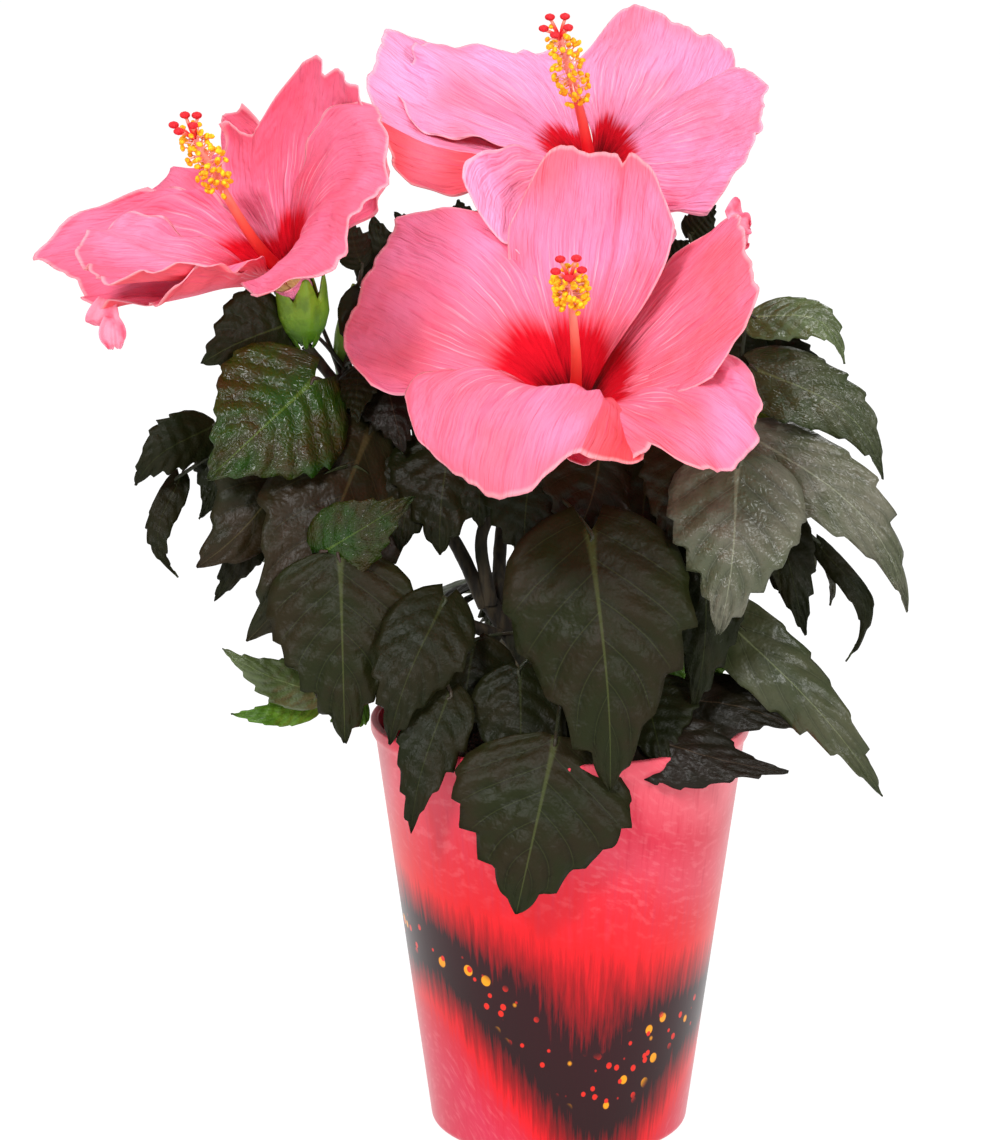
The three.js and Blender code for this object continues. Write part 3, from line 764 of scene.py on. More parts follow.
def speckled(name, roughness, scale, reach, first, second, depth=0.0):
    """A plain finish of two tones, mixed by a fine noise that may also stand out."""
    finish = Finish(name, Roughness=roughness)
    grain = finish.noise(finish.object_place(), scale, 2)
    finish.set(Base_Color=finish.blend(grain.over(*reach), tone(*first), tone(*second)))
    if depth:
        finish.raised(grain, depth)
    return finish


anther_finish = speckled("anther_powdery", 0.85, 900, (0.4, 0.62), (255, 212, 30), (248, 160, 6), 0.0003)
stigma_finish = speckled("stigma_velvet", 0.8, 1500, (0.4, 0.65), (205, 8, 28), (238, 40, 50), 0.0003)
filament_finish = speckled("filament_pale", 0.6, 300, (0.4, 0.6), (255, 196, 186), (255, 168, 140))
print("column finishes ready")

# %% Columns
WAX, POWDER, VELVET, PALE = range(4)
COLUMN_POINTS = 40
COLUMN_RADII = [3.0, 2.3, 1.9, 1.6, 1.3, 1.0]
COLUMN_BEND = 34
ANTHERS = 78
ANTHER_TURN = 2.4
ANTHER_RADII = (1.35, 0.85, 1.0)
STIGMAS = 5
STIGMA_REACH = 5.5
STIGMA_RADII = (1.75, 1.75, 1.25)


def round_about(angle, first, second):
    """The direction at an angle between two that are square to each other."""
    return math.cos(angle) * first + math.sin(angle) * second


def stigma_sheets(last, ahead, level, other):
    """Each stigma's stalk and head, from the end of the column."""
    for branch in range(STIGMAS):
        away = round_about(2 * math.pi * branch / STIGMAS + 0.4, level, other)
        stem = [last - 2 * ahead, last + 2.4 * ahead + 2.2 * away, last + 4.6 * ahead + 4.4 * away]
        head = blob(stem[-1] + 0.9 * ahead, STIGMA_RADII, rows=9, columns=12)
        yield tube(smooth_path(stem, 7), [0.75, 0.6, 0.55], 7), head


def anther_sheets(path, first, luck, ahead, level, other):
    """Each anther's filament and head, from its root on the column outwards."""
    for k in range(ANTHERS):
        share = first + (1 - first) * (k + luck.uniform(-0.4, 0.4)) / ANTHERS
        root = path[int(np.clip(share, 0, 1) * (COLUMN_POINTS - 1))]
        away = round_about(ANTHER_TURN * k + luck.uniform(-0.4, 0.4), level, other)
        up = (share - first) / (1 - first)
        long = luck.uniform(3.8, 6.4) * (0.7 + 0.3 * math.sin(math.pi * min(1, up)))
        end = root + long * away + luck.uniform(-0.4, 2.0 + 3.5 * up) * ahead
        filament = smooth_path([root, (root + end) / 2 + 0.5 * ahead, end], 4)
        turn = np.linalg.qr(np.stack([unit(luck.normal(size=3)) for _ in range(3)]))[0]
        turn = turn * np.sign(np.linalg.det(turn))
        yield tube(filament, [0.3, 0.26], 5), blob(end, ANTHER_RADII, turn, rows=6, columns=8)


for number, (place, bloom) in enumerate(BLOOMS.items()):
    luck = np.random.default_rng(50 + number)
    axes = bloom_axes(bloom["axis"])
    centre = np.array(bloom["centre"], float)
    tip = np.array(bloom["column_tip"], float)
    bend = centre + np.array([0, 0, COLUMN_BEND]) @ axes
    last = tip - STIGMA_REACH * unit(tip - bend)
    path = smooth_path([centre + np.array([0, 0, 3]) @ axes, bend, last], COLUMN_POINTS)
    ahead = unit(last - bend)
    level = unit(np.cross(ahead, [0, 0, 1.0]))
    other = np.cross(ahead, level)

    column = Bundle()
    column.sheet(tube(path, COLUMN_RADII, 14), WAX, tube=True)
    for stem, head in stigma_sheets(last, ahead, level, other):
        column.sheet(stem, WAX, tube=True)
        column.sheet(head, VELVET, tube=True)
    for filament, head in anther_sheets(path, bloom["anthers_from"], luck, ahead, level, other):
        column.sheet(filament, PALE, tube=True)
        column.sheet(head, POWDER, tube=True)
    finishes = [column_finish, anther_finish, stigma_finish, filament_finish]
    keep(column.piece(f"column_{place}", finishes), "column", f"bloom_{place}_column")

# %% [markdown]
# ## Calyces
#
# Under each corolla sits a green cup. Its five pointed sepals part at the top, and a ring of narrow
# bracts stands below it. The cup is a cylinder of five-fold waves whose rim is drawn up into points.
# A closed bud stands beside the left bloom's cup, and belongs to the same piece.

# %% Calyx finish
calyx_finish = Finish("calyx_green", Roughness=0.5)
_, calyx_share = calyx_finish.surface_place()
calyx_place = calyx_finish.object_place()
calyx_noise = calyx_finish.noise(calyx_place, 160, 3)
calyx_colour = calyx_finish.blend(calyx_share.over(0.1, 0.9), tone(80, 128, 14), tone(122, 160, 26))
calyx_colour = calyx_finish.blend(calyx_noise.over(0.45, 0.7) * 0.5, calyx_colour, tone(52, 92, 12))
calyx_finish.set(Base_Color=calyx_colour)
calyx_finish.raised(calyx_finish.noise(calyx_place, 700, 2), 0.0003)
print("calyx finish ready")

# %% Calyces
CALYX_HEIGHT = 18
CALYX_RADIUS = 9
CALYX_OUTLINE = ([0, 0.12, 0.3, 0.6, 0.85, 1], [0.22, 0.55, 0.8, 1.0, 1.0, 0.92])
CALYX_WALL = 0.7
BRACTS = 7
BUDS = {"left": [(-76, 14, 262), (-74, 12, 276), (-71, 10, 297)]}
BUD_RADII = [0.9, 2.6, 3.9, 4.2, 3.2, 0.5]


def calyx_sheet(rows=26, columns=60):
    """The cup in its stalk's own directions: its top lies at height 0, before the sepals' points."""
    angle, share = np.meshgrid(
        -np.linspace(0, 2 * math.pi, columns, endpoint=False), np.linspace(0, 1, rows)
    )
    point = np.abs(np.cos(2.5 * angle)) ** 1.3
    outline = np.interp(share, *CALYX_OUTLINE)
    seam = 1 - 0.1 * (1 - point) * ease(0.1, 0.5, share)
    keel = 1 + 0.04 * point**8
    radius = CALYX_RADIUS * outline * seam * keel * (1 + 0.03 * point * ease(0.8, 1, share))
    height = -CALYX_HEIGHT * (1 - share) + (8 * point - 2) * ease(0.55, 1, share)
    return np.stack([radius * np.cos(angle), radius * np.sin(angle), height], -1)


def bract(angle, foot, long=11, wide=2.2):
    """A narrow pointed bract that stands from a ring round the calyx's foot."""
    t, s = np.meshgrid(np.linspace(-1, 1, 5), np.linspace(0, 1, 9))
    half = wide / 2 * (np.sin(math.pi * np.clip(s * 0.85 + 0.15, 0, 1)) ** 0.7 + 0.05)
    out = 2.4 + 6.0 * s - 1.2 * s**2 + 0.4 * t**2
    up = foot + long * s**1.1
    x = out * math.cos(angle) - t * half * math.sin(angle)
    y = out * math.sin(angle) + t * half * math.cos(angle)
    return np.stack([x, y, up], -1)


for place, bloom in BLOOMS.items():
    axes = bloom_axes(bloom["stalk"])
    cup = Bundle()
    cup.sheet(calyx_sheet() @ axes + bloom["centre"], tube=True)
    for k in range(BRACTS):
        cup.sheet(bract(2 * math.pi * k / BRACTS + 0.3, -CALYX_HEIGHT - 1) @ axes + bloom["centre"])
    if place in BUDS:
        cup.sheet(tube(smooth_path(BUDS[place], 20), BUD_RADII, 16), tube=True)
    piece = cup.piece(f"calyx_{place}", [calyx_finish])
    thicken(piece, CALYX_WALL, 0)
    keep(piece, "calyx", f"bloom_{place}_calyx")

# %% [markdown]
# ## Limbs
#
# A short stem leans to its fork and carries thin boughs that end in the blooms' stalks or in the
# leaves. Young hibiscus bark is thin, with fine long ridges, and a ring-shaped scar stands where each
# old leaf fell. The relief is in the mesh: ridges and rings are added to the radius of each tube.

# %% Limb measurements
def stalk_foot(bloom):
    return np.array(bloom["centre"]) - (CALYX_HEIGHT + 0.5) * unit(bloom["stalk"])


LIMBS = {
    "stem_main": ([(5, 4, 130), (-5, 3, 155), (-25, 0, 188)], (4.0, 3.2)),
    "bough_left": (
        [(-26, 0, 186), (-38, 1, 211), (-64, 6, 246), stalk_foot(BLOOMS["left"])], (2.6, 1.8)
    ),
    "bough_front": (
        [(-24, -2, 187), (-27, -1, 212), (-14, -1, 228), stalk_foot(BLOOMS["front"])], (2.3, 1.8)
    ),
    "bough_top": (
        [(-22, 3, 184), (-18, 20, 220), (2, 54, 262), stalk_foot(BLOOMS["top"])], (2.4, 1.8)
    ),
    "bough_right": ([(-16, 4, 181), (8, 6, 205), (40, 3, 232), (63, 4, 260)], (2.9, 1.8)),
    "bough_low_right": ([(-7, 0, 166), (14, -6, 176), (44, -16, 193)], (2.4, 1.7)),
    "bough_low_left": ([(-21, -3, 176), (-46, -10, 188), (-70, -22, 205)], (2.4, 1.7)),
    "bough_rear": ([(-9, 5, 166), (-12, 28, 195), (-14, 52, 232)], (2.6, 1.7)),
}
print("limbs:", ", ".join(LIMBS))

# %% Bark finish
bark = Finish("bark_young", Roughness=0.75)
bark_place = bark.object_place()
bark_long = bark.noise(bark.node(
    "ShaderNodeVectorMath", {"operation": "MULTIPLY"}, {0: bark_place, 1: (1.0, 1.0, 0.25)}
), 420, 4)
bark_patch = bark.noise(bark_place, 45, 2)
bark_colour = bark.blend(bark_long.over(0.4, 0.65), tone(34, 28, 19), tone(66, 56, 38))
bark_colour = bark.blend(bark_patch.over(0.5, 0.68) * 0.7, bark_colour, tone(38, 44, 20))
bark.set(Base_Color=bark_colour)
bark.raised(bark_long, 0.0006)
print("bark finish ready")


# %% Limbs
LIMB_POINTS = 70
LIMB_SIDES = 22
SCARS = 12
SCAR_WIDTH = 1.3
ROOT_FLARE = [3.0, 1.2, 0.3]


def bark_relief(seed, length, size):
    """Long ridges and leaf scars as an addition to a limb's radius."""
    luck = np.random.default_rng(seed)
    phase = luck.uniform(0, 6.28, 4)
    scars = np.cumsum(luck.uniform(11, 19, SCARS))

    def relief(share, angles):
        along = share * length
        ridges = np.sin(7 * angles + phase[0] + 0.09 * along)
        ridges = ridges + 0.7 * np.sin(11 * angles + phase[1] - 0.06 * along)
        swelling = math.sin(0.8 * along + phase[2])
        knots = hill(along, scars, SCAR_WIDTH).sum()
        turned = 0.6 + 0.4 * np.cos(angles + 2.4 * int(along / 15))
        return size * (0.045 * ridges + 0.05 * swelling + 0.22 * knots * turned)

    return relief


for number, (name, (points, (first, last))) in enumerate(LIMBS.items()):
    path = smooth_path(points, LIMB_POINTS)
    length = np.linalg.norm(np.diff(path, axis=0), axis=1).sum()
    radii = np.linspace(first, last, 8)
    if name == "stem_main":
        radii[:3] += ROOT_FLARE
    limb = Bundle()
    limb.sheet(tube(path, radii, LIMB_SIDES, bark_relief(number, length, first / 3)), tube=True)
    keep(limb.piece(f"limb_{name}", [bark]), "stem", name)

# %% [markdown]
# ## The shape of a leaf
#
# A leaf is a blade on a stalk. Its base is broad and smooth-edged, its tip long and pointed, and the
# outer half is cut into coarse teeth that lean forward. Between the side veins the blade bulges like
# a quilt, the two halves drop from the midrib, and the whole blade droops more and more to its tip.
# The sheet's columns run from edge to edge and its rows from base to tip, so all of this is a matter
# of how wide and how high each row is.

# %% Shaping a leaf
LEAF_ROWS = 61
LEAF_COLUMNS = 17
LEAF_OUTLINE = (
    [0, 0.03, 0.08, 0.15, 0.24, 0.34, 0.45, 0.56, 0.67, 0.78, 0.88, 0.95, 1],
    [0.16, 0.5, 0.76, 0.93, 1.0, 0.99, 0.9, 0.74, 0.54, 0.34, 0.18, 0.08, 0.01],
)
SIDE_VEINS = 6.5
VEIN_SLANT = 0.3
TEETH = 6.5
QUILT_DEPTH = 0.05
HALF_DROP = 0.28
MIDRIB_WIDTH = 1.2


def leaf_middle(bend, hook, length):
    """A drooping middle line turned so that it goes from (0, 0) to (length, 0), and that turn."""
    shares = np.linspace(-0.35, 1.15, 90)
    slopes = np.radians(bend * (shares - 0.5) + hook * np.clip(shares, 0, 1.2) ** 5)
    halfway = (slopes[1:] + slopes[:-1]) / 2
    step = shares[1] - shares[0]
    level = np.concatenate([[0], np.cumsum(np.cos(halfway) * step)])
    rise = np.concatenate([[0], np.cumsum(-np.sin(halfway) * step)])
    level = level - np.interp(0, shares, level)
    rise = rise - np.interp(0, shares, rise)
    end = np.array([np.interp(1, shares, level), np.interp(1, shares, rise)])
    scale = length / np.linalg.norm(end)
    turn = math.atan2(end[1], end[0])
    turned_level = scale * (level * math.cos(turn) + rise * math.sin(turn))
    turned_rise = scale * (rise * math.cos(turn) - level * math.sin(turn))
    return shares, slopes - turn, turned_level, turned_rise, scale


def leaf_relief(t, s, phase, half, width, length, pucker):
    """How far the blade stands out of its sheet: quilt, grain, rippled edge, dropped halves, midrib."""
    edge = np.abs(t)
    vein = SIDE_VEINS * (s - VEIN_SLANT * edge) + 0.35 * (t > 0)
    quilt = np.abs(np.sin(math.pi * vein)) ** 0.8 - 0.5
    inner = edge**0.6 * (1 - edge**6) * ease(0, 0.1, s) * (1 - ease(0.8, 1, s))
    relief = pucker * QUILT_DEPTH * width * quilt * inner
    grain = np.sin(31 * s + 9 * t + phase[0]) * np.sin(13 * t - 17 * s + phase[1])
    relief = relief + pucker * 0.35 * grain * (1 - edge**4) * ease(0.02, 0.2, s)
    ripple = np.sin(2 * math.pi * 1.7 * s + phase[2] + np.where(t > 0, phase[3], 0))
    relief = relief + 0.035 * length * ripple * edge**2.5 * np.sin(math.pi * s)
    relief = relief - HALF_DROP * edge * half + 0.05 * half * edge**3
    return relief - 0.5 * hill(t * half, 0, MIDRIB_WIDTH) * ease(0, 0.1, s)


# %% Leaf blade
def blade(base, tip, width, roll, bow, hook, facing, luck, bend, pucker, teeth, heart):
    """Rows and columns of a blade that spans from base to tip, with its upper side towards facing."""
    phase = luck.uniform(0, 2 * math.pi, 6)
    t, s = np.meshgrid(np.linspace(-1, 1, LEAF_COLUMNS), np.linspace(0, 1, LEAF_ROWS))
    edge = np.abs(t)
    shares, slopes, levels, rises, length = leaf_middle(bend, hook, np.linalg.norm(tip - base))

    place = TEETH * luck.uniform(0.9, 1.3) * s**0.9 + np.where(t > 0, 0.45, 0) + phase[4]
    place = place % 1
    profile = np.minimum(place / 0.76, (1 - place) / 0.24) - 0.45
    toothed = ease(0.14, 0.36, s) * (1 - 0.75 * ease(0.85, 1, s))
    toothed = toothed * (0.8 + 0.4 * np.sin(9 * s + phase[5] + 2 * np.sign(t)))
    tooth = teeth * luck.uniform(0.12, 0.17) * profile * toothed * edge**6
    forward = 0.026 * (profile + 0.5) * toothed * edge**6
    outline = np.interp(s ** luck.uniform(0.88, 1.06), *LEAF_OUTLINE)
    half = width / 2 * outline
    across_share = t + np.sign(t) * tooth / np.maximum(outline, 0.35)
    lobe = heart * 0.2 * edge**1.6 * np.exp(-s / 0.16)
    reach = s + forward - lobe + 0.05 * edge**2 * (1 - s)
    relief = leaf_relief(t, s, phase, half, width, length, pucker)

    pitch = np.interp(reach, shares, slopes)[..., None]
    level = np.interp(reach, shares, levels)[..., None]
    rise = np.interp(reach, shares, rises)[..., None]
    ahead = unit(tip - base)
    upper = unit(np.asarray(facing, float) - (np.asarray(facing) @ ahead) * ahead)
    turn = math.radians(roll)
    upper = math.cos(turn) * upper + math.sin(turn) * np.cross(ahead, upper)
    normal = np.sin(pitch) * ahead + np.cos(pitch) * upper
    aside = across_share * half + bow * length * np.sin(math.pi * np.clip(s, 0, 1) ** 1.3)
    flat = base + level * ahead + rise * upper - aside[..., None] * np.cross(ahead, upper)
    return flat + relief[..., None] * normal


print("leaf sheet:", LEAF_ROWS, "rows of", LEAF_COLUMNS)

# %% [markdown]
# ## Leaf finishes
#
# The leaves are dark: bronze-green on the left and a few young ones bright green and glossy. On the
# right, where they catch the light, some are grey-green and dull, their dark green lightened by painted
# sheen. Each tint is its own plain finish, dealt out leaf by leaf. Midrib and side veins are paler,
# painted shade darkens the blade in the valleys along them, and the leather-like surface has slow
# swellings that break up the shine.


# %% Leaf finishes
def leaf_finish(name, main, second, vein, dullness, sheen, netted):
    """A leaf tint. Dullness is its roughness, sheen its shine, and netted the depth of its fine net."""
    finish = Finish(name, Specular_IOR_Level=sheen)
    u, v = finish.surface_place()
    place = finish.object_place()
    mottle = finish.noise(place, 55, 4, 0.6)
    colour = finish.blend(mottle.over(0.36, 0.66), tone(*main), tone(*second))
    offset = abs(u * 2 - 1)
    outline = v * (1.06 - v) * 3.4 + 0.05
    midrib = 1 - (offset * outline).over(0.006, 0.024)
    side = (u - 0.5).over(-0.001, 0.001) * 0.35
    turn = ((v - offset * VEIN_SLANT) * SIDE_VEINS + side).part()
    from_vein = 0.5 - abs(turn - 0.5)
    side_vein = 1 - from_vein.over(0.006, 0.03)
    # Painted shade in the valleys beside the veins, where the quilted blade dips.
    vein_valley_shade = (1 - from_vein.over(0.02, 0.2)) * (1 - offset.over(0.7, 1.0))
    veins = (midrib * 0.6 + side_vein * 0.26 * (1 - offset.over(0.7, 1.0))).math("MINIMUM", 1.0)
    net = finish.cells(finish.join(u * 9, v * 13), 2.4, "DISTANCE_TO_EDGE").over(0.0, 0.3)
    # Painted shade: a near-black green darkens the blade along the vein valleys.
    colour = finish.blend(vein_valley_shade * 0.3, colour, tone(12, 16, 5))
    colour = finish.blend(veins * 0.7, colour, tone(*vein))
    fine = finish.noise(place, 1100, 3)
    crinkle = finish.noise(place, 200, 2, 0.55)
    finish.set(Base_Color=colour, Roughness=mottle * 0.14 + crinkle * 0.1 + (dullness - 0.1))
    finish.raised(fine * 0.03 + net * netted + crinkle * 0.3 + mottle * 1.6, 0.0012)
    return finish


LEAF_COLOURS = {
    "dark": ("leaf_dark", (23, 27, 8), (32, 29, 12), (60, 66, 32), 0.42, 0.13, 0.03),
    "olive": ("leaf_olive", (30, 34, 10), (37, 31, 14), (84, 92, 48), 0.45, 0.14, 0.03),
    "brown": ("leaf_bronze", (42, 31, 15), (30, 32, 12), (88, 78, 46), 0.4, 0.18, 0.03),
    # The grey and moss tints are dark green leaves lightened by painted sheen, for the lit leaves on the
    # right.
    "grey": ("leaf_grey", (74, 78, 56), (98, 96, 80), (150, 154, 128), 0.32, 0.42, 0.08),
    "moss": ("leaf_moss", (50, 58, 32), (66, 68, 44), (126, 134, 92), 0.34, 0.34, 0.03),
    "gloss": ("leaf_glossy", (30, 62, 4), (50, 40, 8), (96, 122, 44), 0.28, 0.36, 0.14),
    "slick": ("leaf_slick", (46, 56, 26), (60, 64, 40), (112, 124, 78), 0.3, 0.42, 0.1),
    "pale": ("leaf_pale", (84, 98, 54), (62, 74, 36), (140, 156, 96), 0.3, 0.5, 0.03),
    "bright": ("leaf_bright", (100, 140, 36), (72, 112, 24), (150, 182, 84), 0.34, 0.35, 0.03),
    "maroon": ("leaf_maroon", (30, 22, 15), (22, 20, 9), (84, 66, 50), 0.38, 0.18, 0.03),
}
UNDER_SIDE = ("leaf_under_side", (58, 66, 38), (70, 72, 48), (116, 124, 80), 0.5, 0.2, 0.03)
TINT_ORDER = list(LEAF_COLOURS)
leaf_tints = [leaf_finish(*row) for row in LEAF_COLOURS.values()]
leaf_under = leaf_finish(*UNDER_SIDE)
print("leaf tints:", ", ".join(TINT_ORDER))

# %% [markdown]
# ## Where the leaves hang
#
# Every mass springs from one bough. The leaves that shape its outline are set one by one, as the camera
# sees them: where in its frame the blade's base and its tip lie, in thousandths of the frame's width,
# each with its depth in millimetres. Then come width, roll, sideways bow, the hook of the tip and the
# tint. The back of the plant is fanned out by rule from a seed: from a centre, between two headings,
# with a reach and a number of leaves.

# %% Leaf table
FRAME_WIDTH = 1000
FRAME_HEIGHT = 1140


def seen(across, down, y):
    """The point at depth y that the camera sees at a place of its frame."""
    focal = LENS / SENSOR * FRAME_HEIGHT
    tilt = math.radians(CAMERA_TILT)
    right = (across - FRAME_WIDTH / 2) / focal
    up = (FRAME_HEIGHT / 2 - down) / focal
    ray = np.array([right, math.cos(tilt) + up * math.sin(tilt), up * math.cos(tilt) - math.sin(tilt)])
    return np.array(CAMERA_PLACE) + ray * (y - CAMERA_PLACE[1]) / ray[1]


print("the middle of the frame sees", seen(FRAME_WIDTH / 2, FRAME_HEIGHT / 2, 0).round(1))

# %% Masses of leaves
MASSES = {
    "foliage_front": ("bough_front", 0.55, -72, [
        [590, 531, -52, 610, 792, -68, 62, 0, 0.02, 25, "olive"],
        [532, 452, -30, 524, 566, -34, 34, 10, 0.0, 15, "dark"],
        [604, 430, -26, 568, 548, -40, 46, -10, 0.05, 10, "brown"],
        [452, 432, -12, 440, 556, -26, 40, 5, -0.02, 20, "dark"],
        [424, 446, -10, 400, 552, -22, 28, 5, -0.02, 20, "dark"],
        [478, 440, -16, 480, 530, -24, 24, 0, 0.0, 20, "dark"],
        [650, 455, -28, 655, 620, -36, 34, 10, -0.05, 20, "dark"],
        [694, 436, -34, 668, 556, -44, 30, 0, 0.0, 15, "brown"],
    ]),
    "foliage_front_low": ("bough_low_right", 0.25, -95, [
        [556, 736, -62, 516, 915, -76, 60, 0, 0.0, 10, "olive"],
        [520, 668, -44, 514, 794, -56, 33, 0, 0.03, 15, "dark"],
        [604, 728, -42, 788, 771, -60, 29, -25, -0.04, -20, "maroon"],
        [636, 700, -22, 796, 727, -34, 30, -25, 0.04, -10, "maroon"],
        [474, 640, -34, 456, 756, -40, 32, 0, 0.0, 10, "dark"],
        [572, 660, -30, 600, 770, -40, 40, 0, 0.0, 10, "dark"],
        [642, 676, -36, 664, 768, -56, 34, 0, 0.0, 10, "dark"],
    ]),
    "foliage_left": ("bough_left", 0.72, -130, [
        [316, 378, -16, 207, 480, -38, 50, 0, 0.0, 10, "gloss"],
        [216, 424, 2, 134, 486, -6, 21, -20, -0.14, 60, "dark"],
        [180, 476, 4, 178, 578, -4, 11, 0, -0.2, 10, "dark"],
        [310, 436, -4, 196, 568, -22, 42, -5, 0.05, 20, "brown"],
        [214, 440, 8, 199, 520, 4, 14, 0, 0.1, 10, "dark"],
        [300, 420, -4, 232, 530, -14, 30, -10, 0.04, 20, "dark"],
    ]),
    "foliage_upper_left": ("bough_left", 0.86, 60, [
        [292, 322, 2, 200, 364, -10, 32, -15, -0.06, 30, "olive"],
        [392, 290, 22, 372, 214, 20, 22, 0, 0.0, 10, "dark"],
        [362, 268, 12, 350, 214, 8, 14, 30, 0.1, 20, "dark"],
        [384, 372, -4, 404, 454, -18, 24, 0, 0.0, 10, "maroon"],
        [300, 290, 14, 268, 258, 10, 12, 0, 0.1, 20, "dark"],
    ]),
    "foliage_mid_left": ("bough_low_left", 0.95, 150, [
        [372, 426, -10, 246, 642, -36, 54, -8, 0.05, 15, "brown"],
        [262, 466, -2, 214, 602, -10, 24, 0, 0.06, 20, "dark"],
        [336, 470, -8, 306, 590, -20, 34, 0, 0.0, 20, "dark"],
    ]),
    "foliage_low_left": ("bough_low_left", 0.6, -110, [
        [340, 552, -38, 345, 744, -50, 50, 0, 0.0, 10, "olive"],
        [445, 598, -42, 389, 745, -60, 31, 0, -0.04, 15, "dark"],
        [322, 553, -36, 416, 496, -46, 25, 0, 0.0, 30, "gloss"],
        [322, 694, -12, 222, 648, -24, 17, 0, 0.05, 20, "pale"],
        [318, 704, -6, 230, 714, -16, 11, 0, 0.05, 20, "bright"],
        [450, 690, -50, 411, 834, -66, 23, 0, -0.04, 10, "dark"],
        [366, 700, -30, 330, 722, -36, 14, 0, 0.0, 20, "bright"],
        [400, 640, -30, 420, 740, -44, 28, 0, 0.0, 10, "dark"],
    ]),
    "foliage_upper_right": ("bough_right", 0.93, -20, [
        [748, 316, -4, 846, 364, -14, 18, -20, 0.2, 30, "pale"],
        [750, 366, -8, 884, 480, -22, 27, -10, 0.12, 30, "slick"],
        [748, 404, 4, 836, 464, -2, 17, 0, 0.0, 20, "bright"],
        [748, 342, 8, 826, 372, 4, 12, 0, 0.1, 50, "dark"],
        [736, 318, 6, 752, 396, 0, 18, 0, 0.0, 10, "dark"],
        [690, 238, 20, 716, 205, 16, 12, 0, 0.0, 10, "dark"],
        [660, 262, 16, 690, 240, 12, 12, 0, 0.0, 10, "dark"],
    ]),
    "foliage_right": ("bough_right", 0.66, -40, [
        # The grey tint of the next two leaves is painted sheen.
        [740, 428, -14, 908, 612, -36, 30, -10, 0.1, 25, "grey"],
        [738, 458, -46, 718, 636, -60, 46, 5, 0.04, 15, "grey"],
        [776, 508, -2, 806, 636, -10, 20, 0, 0.0, 10, "dark"],
        [816, 540, 8, 846, 662, 2, 9, 0, 0.24, 10, "dark"],
    ]),
    "foliage_low_right": ("bough_low_right", 0.9, -20, [
        # This leaf's moss tint is painted sheen.
        [708, 604, -18, 883, 797, -38, 25, -5, 0.03, 5, "moss"],
        [704, 520, -34, 693, 710, -44, 28, 0, 0.04, 10, "dark"],
        [664, 640, -20, 672, 700, -24, 18, 0, 0.0, 10, "bright"],
        [704, 648, -12, 716, 694, -16, 14, 0, 0.0, 10, "bright"],
    ]),
    "foliage_top": ("bough_top", 0.8, 150, [
        [446, 240, 40, 394, 212, 30, 16, 0, 0.1, 10, "dark"],
        [466, 240, 42, 458, 200, 34, 18, 0, 0.0, 10, "dark"],
        [560, 262, 46, 640, 236, 40, 24, 0, 0.0, 20, "dark"],
        [560, 250, 60, 596, 200, 66, 26, 0, 0.0, 20, "dark"],
    ]),
}
FANNED_TINTS = ["dark", "brown", "dark", "olive", "pale"]
BACK_MASSES = {
    "foliage_back_left": ("bough_left", 0.5, 100, (-52, 28, 226), 95, 195, 58, 8),
    "foliage_back_right": ("bough_right", 0.5, 80, (34, 26, 226), -5, 92, 60, 9),
    "foliage_back_high": ("bough_top", 0.6, 100, (-8, 58, 266), 20, 175, 50, 9),
    "foliage_back_low": ("bough_rear", 0.35, 60, (-6, 38, 186), 15, 175, 56, 9),
}


# %% Hanging the leaves
def hung(base, heading, drop, length):
    """The tip of a leaf that hangs from base with a heading and a mean drop in degrees."""
    turn, fall = math.radians(heading), math.radians(drop)
    level = length * math.cos(fall)
    return base + np.array([level * math.cos(turn), level * math.sin(turn), -length * math.sin(fall)])


def up_and_out(heading):
    """Where the upper side of a leaf faces that hangs outwards with a heading."""
    return hung(np.zeros(3), heading, -50, 1)


def fan(seed, centre, first, last, reach, count):
    """Leaves hung outwards round a centre, from one heading to another."""
    luck = np.random.default_rng(seed)
    leaves = []
    for i in range(count):
        heading = first + (last - first) * (i + 0.5) / count + luck.uniform(-8, 8)
        out = reach * luck.uniform(0.25, 0.5)
        length = reach * luck.uniform(0.85, 1.1)
        base = hung(np.array(centre, float), heading, 0, out) + [0, 0, luck.uniform(-12, 12)]
        tip = hung(base, heading, luck.uniform(28, 60), length)
        tint = luck.choice(FANNED_TINTS)
        width = length * luck.uniform(0.5, 0.64)
        hook = luck.uniform(5, 40)
        roll, bow = luck.uniform(-15, 15), luck.uniform(-0.1, 0.1)
        leaves.append((base, tip, width, roll, bow, hook, up_and_out(heading), tint))
    return leaves


def placed(row):
    """A leaf of the table with its ends as points in space, facing the camera but for its roll."""
    base, tip = seen(*row[:3]), seen(*row[3:6])
    return (base, tip, *row[6:10], unit(np.array(CAMERA_PLACE) - base), row[10])


masses = {}
for name, (*spring, rows) in MASSES.items():
    masses[name] = (*spring, [placed(row) for row in rows])
for seed, (name, (limb_name, at, heading, *spread)) in enumerate(BACK_MASSES.items()):
    masses[name] = (limb_name, at, heading, fan(300 + seed, *spread))
print("leaves set by hand or fanned:", sum(len(mass[3]) for mass in masses.values()))

# %% [markdown]
# ## Growing the sprays
#
# A seeded rule grows each mass from its bough: a twig leaves the bough, every blade gets a curved
# stalk from a point along the twig, and small inner leaves fill the shade between the large ones. The
# rule keeps the open window beside the stem free, where one looks right through the plant.

# %% Stalk finish
stalk_finish = Finish("stalk_green_brown", Roughness=0.55)
stalk_place = stalk_finish.object_place()
stalk_noise = stalk_finish.noise(stalk_place, 90, 3)
stalk_finish.set(Base_Color=stalk_finish.blend(
    stalk_noise.over(0.4, 0.65), tone(40, 46, 20), tone(52, 36, 24)
))
stalk_finish.raised(stalk_finish.noise(stalk_place, 1200, 2), 0.0003)
print("stalk finish ready")

